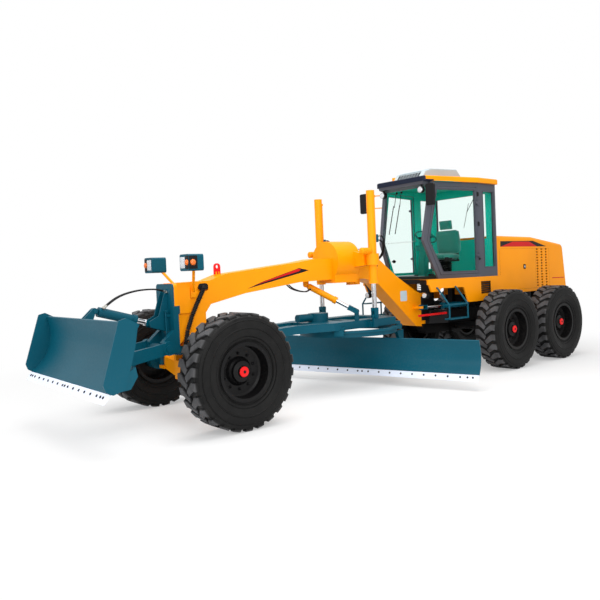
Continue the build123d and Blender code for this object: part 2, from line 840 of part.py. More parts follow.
board_low = (-165.0, blade_low_z + 95)
board_high = (-190.0, blade_top_z)
half_chord = Vector(board_high[0] - board_low[0], board_high[1] - board_low[1]) / 2
chord_middle = Vector(board_low[0], board_low[1]) + half_chord
rise = sqrt(blade_radius**2 - half_chord.length**2)
toward = Vector(half_chord.Y, -half_chord.X).normalized()
board_centre = (chord_middle.X + toward.X * rise, chord_middle.Y + toward.Y * rise)
board_mid = (board_centre[0] - toward.X * blade_radius, board_centre[1] - toward.Y * blade_radius)

bracket = side_prism(
    [
        (tilt_back - 45, tilt_z - 40),
        (tilt_back + 20, tilt_z - 105),
        (board_back(348) - 12, 252),
        (board_back(348) - 12, 348),
        (board_back(470) - 120, 430),
        (board_back(572) - 90, 560),
        (board_back(572) - 12, 572),
        (board_back(572) - 12, 668),
        (board_back(572) - 90, 668),
        (tilt_back - 20, 500),
    ],
    leg_y - leg_thickness / 2 - 65,
    leg_y - leg_thickness / 2 - 10,
)
tilt_tube = bar((tilt_back, -leg_low + 10, tilt_z), (tilt_back, leg_low - 10, tilt_z), 42)
carrier = joined(both_sides(bracket), tilt_tube)
carrier -= bar((tilt_back, -leg_low, tilt_z), (tilt_back, -leg_low + 46, tilt_z), 25 + pin_gap)
carrier -= bar((tilt_back, leg_low - 46, tilt_z), (tilt_back, leg_low, tilt_z), 25 + pin_gap)

rails = []
for z in rail_heights:
    back = board_back(z)
    head = block((back - 40, back - 22), (-1500, 1500), (z - 24, z + 24))
    web = block((back - 24, back + 12), (-1500, 1500), (z - 12, z + 12))
    rails.append(joined(head, web))
    slot_head = block(
        (back - 40 - slide_gap, back - 22 + slide_gap),
        (-2000, 2000),
        (z - 24 - slide_gap, z + 24 + slide_gap),
    )
    slot_web = block((back - 24, back + 60), (-2000, 2000), (z - 12 - slide_gap, z + 12 + slide_gap))
    carrier -= joined(slot_head, slot_web)
barrel_at = (board_back(460) - 62, 455.0)
rod_lug_y = 1185.0
side_shift_barrel = bar((barrel_at[0], -575, barrel_at[1]), (barrel_at[0], 575, barrel_at[1]), 42)
side_shift_barrel -= bar((barrel_at[0], -550, barrel_at[1]), (barrel_at[0], 600, barrel_at[1]), 22 + pin_gap)
side_shift_rod = bar((barrel_at[0], -40, barrel_at[1]), (barrel_at[0], rod_lug_y, barrel_at[1]), 22)
carrier -= bar((barrel_at[0], -2000, barrel_at[1]), (barrel_at[0], 2000, barrel_at[1]), 42 + seat_gap)
nodes["blade_carrier"] = circle_place * carrier
nodes["side_shift_barrel"] = circle_place * side_shift_barrel

# Moldboard: a plate bent to an arc, with rails behind and a cutting edge in front
board = curved_plate(board_low, board_mid, board_high, blade_thickness, blade_length / 2)
rod_lug = block(
    (barrel_at[0] - 35, board_back(455) + 14),
    (rod_lug_y, rod_lug_y + 30),
    (barrel_at[1] - 45, barrel_at[1] + 45),
)
board_move = Location((0, blade_offset, 0))
edge = side_prism(
    [
        (board_low[0] + 32, blade_low_z),
        (board_low[0] + 48, blade_low_z),
        (board_low[0] + 20, board_low[1] - 5),
        (board_low[0] - 8, board_low[1] - 5),
    ],
    -blade_length / 2,
    blade_length / 2,
)
moldboard = joined(board_move * board, *rails, rod_lug) - board_move * edge
nodes["moldboard"] = circle_place * moldboard
nodes["moldboard_edge"] = circle_place * board_move * edge
nodes["side_shift_rod"] = circle_place * side_shift_rod

# Lift cylinders: one pair of barrels and one pair of rods, alike on both sides
lift_barrel = joined(
    bar((lift_x, lift_y, lift_barrel_low_z), (lift_x, lift_y, lift_barrel_top_z), lift_barrel_radius),
    bar(
        (lift_x, lift_y, lift_barrel_low_z),
        (lift_x, lift_y, lift_barrel_low_z + 60),
        lift_barrel_radius + 10,
    ),
    bar((lift_x, lift_y, trunnion_z - 85), (lift_x, lift_y, trunnion_z + 85), lift_barrel_radius + 33),
)
lift_barrel -= bar(
    (lift_x, lift_y, lift_barrel_low_z - 10),
    (lift_x, lift_y, lift_barrel_top_z - 40),
    lift_rod_radius + pin_gap,
)
lift_barrel -= bar((lift_x, lift_y - 200, trunnion_z), (lift_x, lift_y - 68, trunnion_z), 40 + pin_gap)
nodes["lift_barrels"] = both_sides(lift_barrel)

cheek_low = lug_thickness / 2 + fork_gap
cheek_high = cheek_low + 20
crown_z = lift_eye_z + 110
lift_rod = [
    bar((lift_x, lift_y, crown_z), (lift_x, lift_y, 2450), lift_rod_radius),
    block(
        (lift_x - 40, lift_x + 40),
        (lift_y - cheek_high, lift_y + cheek_high),
        (crown_z - 30, crown_z + 20),
    ),
]
for low, high in ((cheek_low, cheek_high), (-cheek_high, -cheek_low)):
    lift_rod.append(block((lift_x - 38, lift_x + 38), (lift_y + low, lift_y + high), (lift_eye_z, crown_z)))
    lift_rod.append(bar((lift_x, lift_y + low, lift_eye_z), (lift_x, lift_y + high, lift_eye_z), 38))
lift_rod.append(
    bar((lift_x, lift_y + cheek_high, lift_eye_z), (lift_x, lift_y + cheek_high + 10, lift_eye_z), 24),
)
nodes["lift_rods"] = both_sides(joined(*lift_rod))

shift_sizes = (46, 26, 520, 330, 110, 20, shift_fork_half)
nodes["shift_barrel"], nodes["shift_rod"] = cylinder_pair(shift_base, shift_eye, shift_normal, shift_sizes)

# Rear frame: hitch tower, two rails, tail weight and the brackets that carry the body
tongue = joined(
    bar((artic_x, 0, artic_low_z + ear_thickness + 5), (artic_x, 0, artic_high_z - ear_thickness - 5), 88),
    block(
        (artic_x - 240, artic_x),
        (-85, 85),
        (artic_low_z + ear_thickness + 5, artic_high_z - ear_thickness - 5),
    ),
)
tower = block((artic_x - 290, artic_x - 150), (-85, 85), (rail_low_z, deck_z - deck_thickness))
tongue -= bar((artic_x, 0, 0), (artic_x, 0, 2000), artic_pin_radius + pin_gap)
spread = plan_prism(
    [
        (artic_x - 150, 85),
        (artic_x - 420, rail_outer_y),
        (artic_x - 520, rail_outer_y),
        (artic_x - 520, -rail_outer_y),
        (artic_x - 420, -rail_outer_y),
        (artic_x - 150, -85),
    ],
    rail_low_z,
    rail_top_z,
)
rail = block((tail_x + 180, artic_x - 420), (rail_inner_y, rail_outer_y), (rail_low_z, rail_top_z))
cross_members = []
for x in (-2370.0, -3650.0):
    cross_members.append(block((x, x + 120), (-rail_inner_y, rail_inner_y), (rail_low_z + 20, rail_top_z)))
tail_weight = side_prism(
    [
        (weight_x, 860),
        (weight_x, hood_low_z),
        (weight_x + 190, hood_low_z),
        (weight_x + 190, 740),
        (weight_x + 80, 740),
    ],
    -hood_half_width,
    hood_half_width,
)
for y in (-bolt_spacing_y / 2, bolt_spacing_y / 2):
    for z in (bolt_z - bolt_spacing_z / 2, bolt_z + bolt_spacing_z / 2):
        tail_weight -= bar((weight_x - 10, y, z), (weight_x + bolt_depth, y, z), bolt_hole_radius)
tow_x = weight_x - 45
tow_clevis = []
for low in (tow_z - tow_height / 2, tow_z + tow_height / 2 - tow_plate):
    tow_clevis.append(block((tow_x, weight_x + 5), (-50, 50), (low, low + tow_plate)))
    tow_clevis.append(bar((tow_x, 0, low), (tow_x, 0, low + tow_plate), 50))
tow_clevis = joined(*tow_clevis) - bar((tow_x, 0, tow_z - 200), (tow_x, 0, tow_z + 200), tow_hole_radius)
lock_bar = joined(
    bar((-1300, 420, 990), (-600, 420, 990), 18),
    block((-1330, -1290), (100, 438), (972, 1008)),
)
body_posts = both_sides(
    block((-2330, -2250), (rail_inner_y, rail_outer_y), (rail_top_z, deck_z - deck_thickness)),
)
hood_rack = block((-2680, -2600), (-hood_half_width, hood_half_width), (rail_top_z, hood_low_z))
lug_low = artic_cylinder_z - lug_thickness / 2 - pin_gap
lug_high = lug_low + lug_thickness + 2 * pin_gap
bracket_x = (artic_base[0] - 36, artic_base[0] + 16)
base_bracket = [block(bracket_x, (rail_inner_y, artic_base[1] - 100), (rail_top_z - 10, lug_high + 20))]
for low in (lug_low - 20, lug_high):
    base_bracket.append(block(bracket_x, (rail_inner_y, artic_base[1]), (low, low + 20)))
    base_bracket.append(bar((*artic_base, low), (*artic_base, low + 20), 34))
base_bracket.append(bar((*artic_base, lug_low - 20), (*artic_base, lug_high + 20), 22))
nodes["tail_weight"] = joined(tail_weight, tow_clevis)
nodes["rear_frame"] = joined(
    tongue,
    tower - bar((artic_x, 0, 0), (artic_x, 0, 2000), ear_radius + 5),
    spread - bar((artic_x, 0, 0), (artic_x, 0, 2000), ear_radius + 5),
    both_sides(rail),
    *cross_members,
    lock_bar,
    body_posts,
    hood_rack,
    both_sides(joined(*base_bracket)),
) - nodes["tail_weight"]

artic_sizes = (48, 26, 620, 420, 90, 22, close_fork)
for name, side in (("left", 1), ("right", -1)):
    base = (artic_base[0], side * artic_base[1], artic_cylinder_z)
    eye = (artic_eye[0], side * artic_eye[1], artic_cylinder_z)
    pair = cylinder_pair(base, eye, (0, 0, 1), artic_sizes)
    nodes["artic_barrel_" + name], nodes["artic_rod_" + name] = pair

# Rear axle housing and the two tandem cases with their wheel stubs
housing = bar((tandem_x, -640, wheel_z), (tandem_x, 640, wheel_z), 126)
seats = both_sides(
    block((tandem_x - 110, tandem_x + 110), (rail_inner_y, rail_outer_y), (wheel_z, rail_low_z)),
)
case_outline = [
    (mid_axle_x + 210, wheel_z - 60),
    (mid_axle_x + 210, wheel_z + 90),
    (mid_axle_x + 130, wheel_z + 170),
    (tandem_x, wheel_z + 215),
    (rear_axle_x - 130, wheel_z + 170),
    (rear_axle_x - 210, wheel_z + 90),
    (rear_axle_x - 210, wheel_z - 60),
    (rear_axle_x - 130, wheel_z - 150),
    (mid_axle_x + 130, wheel_z - 150),
]
case = side_prism(case_outline, 620, 790)
case = rounded(case, 30, Axis.Y, lambda centre: True)
case_ring = bar((tandem_x, 560, wheel_z), (tandem_x, 625, wheel_z), 200)
stubs = []
for x in (mid_axle_x, rear_axle_x):
    stubs.append(bar((x, 780, wheel_z), (x, half_track - 60, wheel_z), 150))
    stubs.append(bar((x, 780, wheel_z), (x, stub_end, wheel_z), spindle_radius))
nodes["tandem_axle"] = joined(housing, seats, both_sides(joined(case, case_ring, *stubs)))

# Engine as one block on the rails, and the hood over it
nodes["engine"] = block((-4150, -2950), (-300, 300), (rail_top_z, 1900))
hood_back = (tail_x + 128, 2138.0)
hood_outline = [
    (hood_front_x, hood_low_z),
    (hood_front_x, 2300),
    (hood_front_x - 1180, 2282),
    hood_back,
    (tail_x, hood_low_z),
]
hood_inner = [
    (hood_front_x - hood_wall, hood_low_z - 10),
    (hood_front_x - hood_wall, 2300 - hood_wall),
    (hood_front_x - 1180, 2282 - hood_wall),
    (hood_back[0] + hood_wall, hood_back[1] - hood_wall),
    (tail_x + hood_wall, hood_low_z - 10),
]


def hood_form(outline, half, knuckle_radius, side_radius):
    form = side_prism(outline, -half, half)
    form = rounded(form, knuckle_radius, Axis.Y, lambda centre: centre.X < tail_x + 200 and centre.Z > 2000)
    rims = [edge for edge in form.edges() if abs(abs(edge.center().Y) - half) < 1 and edge.center().Z > 2060]
    return form.fillet(side_radius, rims)


hood = hood_form(hood_outline, hood_half_width, 110, 55)
hood -= hood_form(hood_inner, hood_half_width - hood_wall, 90, 35)
slots = []
for x in (-3900.0, -4060.0, -4220.0):
    for row in range(14):
        z = 1330 + 54 * row
        slots.append(block((x - 35, x + 35), (-hood_half_width - 10, hood_half_width + 10), (z, z + 26)))
hood -= slots


def back_x(z):
    return tail_x + (z - hood_low_z) * (hood_back[0] - tail_x) / (hood_back[1] - hood_low_z)


grille_half = 430
hood -= block((tail_x - 50, tail_x + 300), (-grille_half, grille_half), (1380, 1980))
louvres = [
    side_prism(
        [(back_x(1370), 1370), (back_x(1990), 1990), (back_x(1990) + 18, 1990), (back_x(1370) + 18, 1370)],
        -14,
        14,
    )
]
for number in range(11):
    z = 1400 + 52 * number
    x = back_x(z)
    blade = [(x + 2, z), (x + 34, z + 27), (x + 38, z + 21), (x + 6, z - 6)]
    louvres.append(side_prism(blade, -grille_half - 3, grille_half + 3))
nodes["hood"] = joined(hood, *louvres)

# Body under the cab: deck, skirts with the step recess, and two wings forward of the cab
deck_low_z = deck_z - deck_thickness
deck = plan_prism(
    [
        (-970, -wing_inner_y),
        (-970, wing_inner_y),
        (-490, wing_inner_y),
        (-490, skirt_y),
        (hood_front_x + 10, skirt_y),
        (hood_front_x + 10, -skirt_y),
        (-490, -skirt_y),
        (-490, -wing_inner_y),
    ],
    deck_low_z,
    deck_z,
)
skirt_outline = [
    (-480, deck_z),
    (-570, 1380),
    (-760, 1380),
    (-800, 1430),
    (-1400, 1425),
    (-1520, 1165),
    (hood_front_x + 10, 1165),
    (hood_front_x + 10, deck_z),
]
skirt = side_prism(skirt_outline, skirt_y - skirt_thickness, skirt_y)
skirt = rounded(skirt, 38, Axis.Y, lambda centre: -1600 < centre.X < -700 and centre.Z < 1500)
skirt -= block((-2160, -1880), (0, 900), (1285, 1505))
vent_bars = []
for number in range(6):
    z = 1300 + 36 * number
    vent_bars.append(block((-2165, -1875), (skirt_y - 22, skirt_y - 10), (z, z + 14)))
skirt = joined(skirt, *vent_bars)
wing_front = side_prism([(-480, deck_z), (-570, 1380), (-600, 1380), (-510, deck_z)], wing_inner_y, skirt_y)
nodes["lower_body"] = joined(deck, both_sides(skirt), both_sides(wing_front))

# Steps: two bent side tubes and two treads each side
step_tubes = []
for x in (-1160.0, -690.0):
    route = [(x, skirt_y + 14, 1440), (x, 980, 1170), (x, 980, 940)]
    for start, end in zip(route, route[1:]):
        step_tubes.append(bar(start, end, 14))
    step_tubes.append(Solid.make_sphere(14, Plane(origin=route[1])))
    step_tubes.append(bar((x, skirt_y, 1440), route[0], 14))
for y, z in ((880, 1160), (880, 935)):
    step_tubes.append(block((-1160, -690), (y, y + 120), (z, z + 20)))
steps = joined(*step_tubes)
nodes["steps"] = both_sides(steps)

# Cab: floor, pillars, header and rear wall; the doors fill the openings beside the seat
front_low_x = -970.0
front_mid_x = -690.0
slant = degrees(atan2(cab_rear_half - cab_front_half, front_mid_x - door_hinge_x))
front_top_x = -880.0
front_mid_z = 2220.0


def side_frame(outline, depth_low, depth_high):
    # A plate in the door's slanted plane; first figure is the distance forward of the hinge
    plate = side_prism(outline, -depth_high, -depth_low)
    return Location((door_hinge_x, cab_rear_half, 0), (0, 0, -slant)) * plate


def reach(x):
    return (x - door_hinge_x) / cos(radians(slant))


opening = [
    (0, cab_low_z + post),
    (reach(front_low_x) - 50, cab_low_z + post),
    (reach(front_mid_x) - 75, front_mid_z),
    (reach(front_top_x) - 75, cab_top_z - 75),
    (0, cab_top_z - 75),
]
side_outline = [
    (-40, cab_low_z),
    (reach(front_low_x), cab_low_z),
    (reach(front_mid_x), front_mid_z),
    (reach(front_top_x), cab_top_z),
    (-40, cab_top_z),
]
door_side = side_frame(side_outline, 0, post) - side_frame(opening, -10, post + 10)
rear_side = block((-2390, door_hinge_x - 25), (cab_rear_half - post, cab_rear_half), (cab_low_z, cab_top_z))
window = block((-2320, -2030), (0, 2000), (1750, 3050))
rear_side = rear_side - window
rear_wall = block((-2390, -2330), (-cab_rear_half, cab_rear_half), (cab_low_z, cab_top_z))
rear_wall -= block((-3000, -2000), (-560, 560), (2250, 3050))
cab_floor = plan_prism(
    [
        (front_low_x, -cab_front_half + 20),
        (front_low_x, cab_front_half - 20),
        (door_hinge_x, cab_rear_half - 20),
        (-2390, cab_rear_half - 20),
        (-2390, -cab_rear_half + 20),
        (door_hinge_x, -cab_rear_half + 20),
    ],
    cab_low_z,
    cab_low_z + 30,
)
front_sill = block(
    (front_low_x - 60, front_low_x),
    (-cab_front_half, cab_front_half),
    (cab_low_z, cab_low_z + 50),
)
header = block(
    (front_top_x - 60, front_top_x),
    (-cab_front_half, cab_front_half),
    (cab_top_z - 75, cab_top_z),
)
hinge_y = cab_rear_half + 24
hinge_lugs = []
for z in (1950.0, 2850.0):
    for low in (z - 45, z + 20):
        hinge_lugs.append(
            block((door_hinge_x - 60, door_hinge_x), (cab_rear_half - 5, hinge_y + 9), (low, low + 25)),
        )
        hinge_lugs.append(bar((door_hinge_x, hinge_y, low), (door_hinge_x, hinge_y, low + 25), 9))
    hinge_lugs.append(bar((door_hinge_x, hinge_y, z - 45), (door_hinge_x, hinge_y, z + 45), 6))
visor = side_prism(
    [
        (front_top_x - 10, cab_top_z),
        (-725, cab_top_z),
        (-740, cab_top_z - 45),
        (front_top_x - 10, cab_top_z - 75),
    ],
    -cab_front_half,
    cab_front_half,
)
cab_side = joined(door_side, rear_side, *hinge_lugs)
nodes["cab_frame"] = joined(both_sides(cab_side), rear_wall, cab_floor, front_sill, header, visor)

# Doors: a thin frame round one pane, each hung on two hinges at the rear pillar
door_outline = [
    (door_gap, cab_low_z + post + door_gap),
    (reach(front_low_x) - 50 - door_gap - 2, cab_low_z + post + door_gap),
    (reach(front_mid_x) - 75 - door_gap - 2, front_mid_z),
    (reach(front_top_x) - 75 - door_gap - 2, cab_top_z - 75 - door_gap),
    (door_gap, cab_top_z - 75 - door_gap),
]
pane_outline = [
    (door_gap + 45, cab_low_z + post + 55),
    (reach(front_low_x) - 115, cab_low_z + post + 55),
    (reach(front_mid_x) - 130, front_mid_z),
    (reach(front_top_x) - 130, cab_top_z - 135),
    (door_gap + 45, cab_top_z - 135),
]
door_thickness = 35.0
door = side_frame(door_outline, 0, door_thickness) - side_frame(pane_outline, -10, 60)
knuckles = []
for z in (1950.0, 2850.0):
    ring_part = bar((door_hinge_x, hinge_y, z - 19), (door_hinge_x, hinge_y, z + 19), 15)
    leaf = block((door_hinge_x, door_hinge_x + 55), (cab_rear_half - 14, hinge_y + 6), (z - 19, z + 19))
    hole = bar((door_hinge_x, hinge_y, z - 30), (door_hinge_x, hinge_y, z + 30), 6 + pin_gap)
    clear = block((door_hinge_x - 30, door_hinge_x + door_gap), (0, cab_rear_half + 1), (z - 30, z + 30))
    knuckles.append(joined(ring_part, leaf) - hole - clear)
door = joined(door, *knuckles)
pane = side_frame(pane_outline, 12, 12 + glass_thickness)
nodes["door_left"] = door
nodes["door_right"] = mirrored(door)
nodes["door_glass_left"] = pane
nodes["door_glass_right"] = mirrored(pane)


def half_inside(x):
    # Half of the clear width between the front pillars at a given X
    outer = cab_rear_half - (x - door_hinge_x) * tan(radians(slant))
    return outer - post / cos(radians(slant)) - seat_gap


def tilted_pane(low, high):
    # A pane between two cross lines given as (X, Z), as wide as the pillars leave
    corners = []
    for x, z, side in ((*low, -1), (*high, -1), (*high, 1), (*low, 1)):
        corners.append((x, side * (half_inside(x) - 1), z))
    lean = Vector(high[0] - low[0], 0, high[1] - low[1]).normalized()
    inward = Vector(-lean.Z, 0, lean.X)
    return Solid.extrude(Face(Wire.make_polygon(corners, close=True)), inward * glass_thickness)


inset = 18.0
lower_pane = tilted_pane(
    (front_low_x - inset, cab_low_z + 50 + seat_gap),
    (front_mid_x - inset, front_mid_z - 6),
)
upper_pane = tilted_pane(
    (front_mid_x - inset, front_mid_z),
    (front_top_x - inset, cab_top_z - 75 - seat_gap),
)
rear_pane = block((-2364, -2356), (-560, 560), (2250, 3050))
side_pane = block((-2320, -2030), (cab_rear_half - 34, cab_rear_half - 26), (1750, 3050))
nodes["cab_glass"] = joined(lower_pane, upper_pane, rear_pane, both_sides(side_pane))

roof_plan = [
    (-710, -550),
    (-710, 550),
    (-1840, 800),
    (-2430, 800),
    (-2430, -800),
    (-1840, -800),
]
roof = rounded(plan_prism(roof_plan, cab_top_z, cab_top_z + 85), 75, Axis.Z, lambda centre: True)
roof_top = [edge for edge in roof.edges() if edge.center().Z > cab_top_z + 84]
nodes["roof"] = roof.fillet(22, roof_top)
ac_outline = [(-905, 0), (-1005, 130), (-1160, 175), (-1850, 205), (-1960, 100), (-1970, 0)]
ac_outline = [(x, cab_top_z + 85 + z) for x, z in ac_outline]
ac_unit = rounded(side_prism(ac_outline, -330, 330), 40, Axis.Y, lambda centre: centre.Z > cab_top_z + 120)
ac_sides = [
    edge for edge in ac_unit.edges() if abs(edge.center().Y) > 329 and edge.center().Z > cab_top_z + 110
]
ac_unit = ac_unit.fillet(20, ac_sides)
ac_slots = []
for number in range(5):
    slope_x = -935 - 17 * number
    slope_z = cab_top_z + 85 + 30 + 22 * number
    ac_slots.append(block((slope_x - 40, slope_x + 60), (-250, 250), (slope_z, slope_z + 10)))
nodes["ac_unit"] = ac_unit - ac_slots

# Seat and console
seat_x = -1750.0
nodes["seat"] = joined(
    block((seat_x - 150, seat_x + 150), (-150, 150), (cab_low_z + 30, 1900)),
    rounded(block((seat_x - 240, seat_x + 260), (-250, 250), (1900, 2020)), 35, Axis.Z, lambda centre: True),
    side_prism(
        [(seat_x - 240, 1950), (seat_x - 130, 1950), (seat_x - 200, 2620), (seat_x - 290, 2620)],
        -230,
        230,
    ),
)
column = side_prism(
    [(-1300, cab_low_z + 30), (-1180, cab_low_z + 30), (-1250, 2230), (-1340, 2230)],
    -70,
    70,
)
wheel_centre = Vector(-1345, 0, 2310)
wheel_axis = Vector(-0.5, 0, 0.87).normalized()
steering_wheel = Solid.make_torus(185, 14, Plane(origin=wheel_centre, z_dir=wheel_axis))
spoke_plane = Plane(origin=wheel_centre - wheel_axis * 12, x_dir=(0, 1, 0), z_dir=wheel_axis)
spoke = Solid.make_box(
    360,
    40,
    14,
    Plane(origin=spoke_plane.from_local_coords(Vector(-180, -20, 0)), x_dir=(0, 1, 0), z_dir=wheel_axis),
)
stem = bar((-1290, 0, 2190), (-1345, 0, 2306), 28)
levers = []
for y in (-130, -100, -70, 70, 100, 130):
    levers.append(bar((-1290, y, 2150), (-1320, y, 2290), 7))
lever_box = block((-1350, -1250), (-150, 150), (2080, 2170))
nodes["console"] = joined(column, steering_wheel, spoke, stem, lever_box, *levers)

# Mirrors, lamps and beacon
mirror_parts = []
for side, x, y in ((1, -740.0, 640.0), (-1, -700.0, 850.0)):
    shell = block((x - 20, x + 20), (y - 85, y + 85), (2780, 3130))
    shell = rounded(shell, 30, Axis.X, lambda centre: True)
    arm_a = bar((front_top_x - 20, half_inside(front_top_x) + 45, 3080), (x, y - 60, 3080), 9)
    arm_b = bar((front_top_x + 10, half_inside(front_top_x) + 45, 2860), (x, y - 60, 2860), 9)
    one = joined(shell, arm_a, arm_b)
    mirror_parts.append(one if side > 0 else mirrored(one))
mirrors = joined(*mirror_parts) - nodes["cab_frame"]

lamp_parts = []
for side in (1, -1):
    roof_lamp = bar((-800, side * 430, 3055), (-735, side * 430, 3055), 52)
    roof_arm = block((-790, -770), (side * 430 - 15, side * 430 + 15), (3070, cab_top_z - 40))
    lamp_parts.append(joined(roof_lamp, roof_arm))
    deck_lamp = bar((-560, side * 650, 1330), (-490, side * 650, 1330), 48)
    deck_arm = block((-575, -555), (side * 650 - 15, side * 650 + 15), (1330, 1400))
    lamp_parts.append(joined(deck_lamp, deck_arm) - nodes["lower_body"])
    lamp_parts.append(block((weight_x - 18, weight_x), (side * 450 - 70, side * 450 + 70), (1080, 1180)))
work_lamps = joined(*lamp_parts) - nodes["cab_frame"]
beacon_base = cab_top_z + 85
beacon = joined(
    bar((-1300, -640, beacon_base), (-1300, -640, beacon_base + 40), 60),
    bar((-1300, -640, beacon_base + 40), (-1300, -640, beacon_base + 150), 50),
)
nodes["mirrors_and_lamps"] = joined(mirrors, work_lamps, beacon)

head_lamps = []
lamp_x = 3540.0
lamp_y = 485.0
for side in (1, -1):
    housing_box = block(
        (lamp_x - 105, lamp_x + 95),
        (side * lamp_y - 110, side * lamp_y + 110),
        (1850, 2050),
    )
    housing_box = rounded(housing_box, 28, Axis.X, lambda centre: True)
    arm_one = bar((lamp_x - 60, side * (lamp_y - 60), 1870), (3360, side * (beam_half_width + 25), 1600), 18)
    foot = block((3320, 3400), (side * 165 - 15, side * 165 + 15), (1520, 1640))
    head_lamps.append(joined(housing_box, arm_one, foot))
nodes["head_lamps"] = joined(*head_lamps) - beam

os.makedirs("parts", exist_ok=True)
for name, shape in nodes.items():
    export_step(shape, "parts/" + name + ".step")
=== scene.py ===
import math

import bmesh
import bpy
from mathutils import Matrix, Vector


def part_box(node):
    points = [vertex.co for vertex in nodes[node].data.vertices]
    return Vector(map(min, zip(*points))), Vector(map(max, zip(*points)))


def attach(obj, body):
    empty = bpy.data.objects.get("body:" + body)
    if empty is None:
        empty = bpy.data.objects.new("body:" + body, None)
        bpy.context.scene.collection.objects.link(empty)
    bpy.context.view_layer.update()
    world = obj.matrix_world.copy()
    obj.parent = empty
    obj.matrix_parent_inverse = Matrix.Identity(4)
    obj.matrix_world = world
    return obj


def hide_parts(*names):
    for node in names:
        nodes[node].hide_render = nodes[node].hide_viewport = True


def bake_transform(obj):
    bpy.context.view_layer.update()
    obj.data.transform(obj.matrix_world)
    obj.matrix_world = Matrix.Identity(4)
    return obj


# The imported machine, with its bodies, nodes and joints. Its box at this point is the one
# that every later piece has to stay inside.
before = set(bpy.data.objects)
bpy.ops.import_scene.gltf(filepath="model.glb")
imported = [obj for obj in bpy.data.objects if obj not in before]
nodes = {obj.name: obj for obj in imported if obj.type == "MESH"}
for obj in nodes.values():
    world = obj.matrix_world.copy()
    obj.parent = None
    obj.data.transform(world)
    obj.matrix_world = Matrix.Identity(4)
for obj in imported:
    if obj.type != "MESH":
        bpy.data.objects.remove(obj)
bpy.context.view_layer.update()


# Studio: a plain pale floor under soft light from above and from the camera's side, on a
# white backdrop, seen from the left front corner at a standing person's eye level.
def set_inputs(node, values):
    for label, value in values.items():
        node.inputs[label].default_value = value


def add(tree, kind, inputs=None, **settings):
    # A shader node with its settings, and with plain values on some of its inputs
    node = tree.nodes.new(kind)
    for label, value in settings.items():
        setattr(node, label, value)
    set_inputs(node, inputs or {})
    return node


def plug(tree, value, socket):
    # A number or a colour is set on the socket, and anything else is linked to it
    if isinstance(value, (int, float)):
        socket.default_value = value
    elif isinstance(value, tuple):
        socket.default_value = (*value, 1)
    else:
        tree.links.new(value, socket)


def math_node(tree, operation, first, second):
    node = add(tree, "ShaderNodeMath", operation=operation)
    plug(tree, first, node.inputs[0])
    plug(tree, second, node.inputs[1])
    return node.outputs[0]


def link_all(tree, *pairs):
    for output, socket in pairs:
        tree.links.new(output, socket)


def new_material(name):
    material = bpy.data.materials.new(name)
    material.use_nodes = True
    return material, material.node_tree, material.node_tree.nodes["Principled BSDF"]


def object_place(tree):
    return add(tree, "ShaderNodeTexCoord").outputs["Object"]


# The photograph's camera: its place and turns, and in pixels its focal length and optical centre
eye = Vector((7.3124, 7.3217, 1.7631))
heading = math.radians(229.38)
downward = math.radians(1.544)
roll = math.radians(-2.399)
focal_pixels = 637.15
frame_pixels = 600
principal = (325.05, 289.71)

forward = Vector((
    math.cos(heading) * math.cos(downward),
    math.sin(heading) * math.cos(downward),
    -math.sin(downward),
))
level_right = forward.cross(Vector((0, 0, 1))).normalized()
level_up = level_right.cross(forward)
right = level_right * math.cos(roll) + level_up * math.sin(roll)
up = level_up * math.cos(roll) - level_right * math.sin(roll)
camera_data = bpy.data.cameras.new("camera")
camera_data.sensor_width = 36
camera_data.lens = focal_pixels / frame_pixels * camera_data.sensor_width
camera_data.shift_x = (frame_pixels / 2 - principal[0]) / frame_pixels
camera_data.shift_y = (principal[1] - frame_pixels / 2) / frame_pixels
camera_data.clip_end = 200
scene = bpy.context.scene
camera = bpy.data.objects.new("camera", camera_data)
scene.collection.objects.link(camera)
turn = Matrix((right, up, -forward)).transposed()
camera.matrix_world = Matrix.Translation(eye) @ turn.to_4x4()
scene.camera = camera

scene.view_settings.view_transform = "Standard"
world = bpy.data.worlds.new("studio")
scene.world = world
world.use_nodes = True
sky = world.node_tree
sky.nodes.clear()
rays = add(sky, "ShaderNodeLightPath").outputs
seen = math_node(sky, "MAXIMUM", rays["Is Camera Ray"], rays["Is Glossy Ray"])
seen = math_node(sky, "MAXIMUM", seen, rays["Is Transmission Ray"])
fill_light = add(sky, "ShaderNodeBackground", {"Color": (1, 1, 1, 1), "Strength": 0.62})
backdrop = add(sky, "ShaderNodeBackground", {"Color": (1, 1, 1, 1), "Strength": 1.0})
choose = add(sky, "ShaderNodeMixShader")
sky_out = add(sky, "ShaderNodeOutputWorld")
link_all(
    sky,
    (seen, choose.inputs[0]),
    (fill_light.outputs[0], choose.inputs[1]),
    (backdrop.outputs[0], choose.inputs[2]),
    (choose.outputs[0], sky_out.inputs["Surface"]),
)

lamps = (
    # name, place, side in metres, power in watts
    ("lamp_above", (1.5, 1.0, 9.0), 8.0, 620),
    ("lamp_camera_side", (6.0, 10.0, 5.5), 6.0, 520),
    ("lamp_front", (12.0, 1.0, 4.0), 5.0, 260),
)
for name, place, side, power in lamps:
    lamp_data = bpy.data.lights.new(name, "AREA")
    lamp_data.shape = "SQUARE"
    lamp_data.size = side
    lamp_data.energy = power
    lamp = bpy.data.objects.new(name, lamp_data)
    lamp.location = place
    aim = Vector((0, 0, 1.0)) - Vector(place)
    lamp.rotation_euler = aim.to_track_quat("-Z", "Y").to_euler()
    scene.collection.objects.link(lamp)

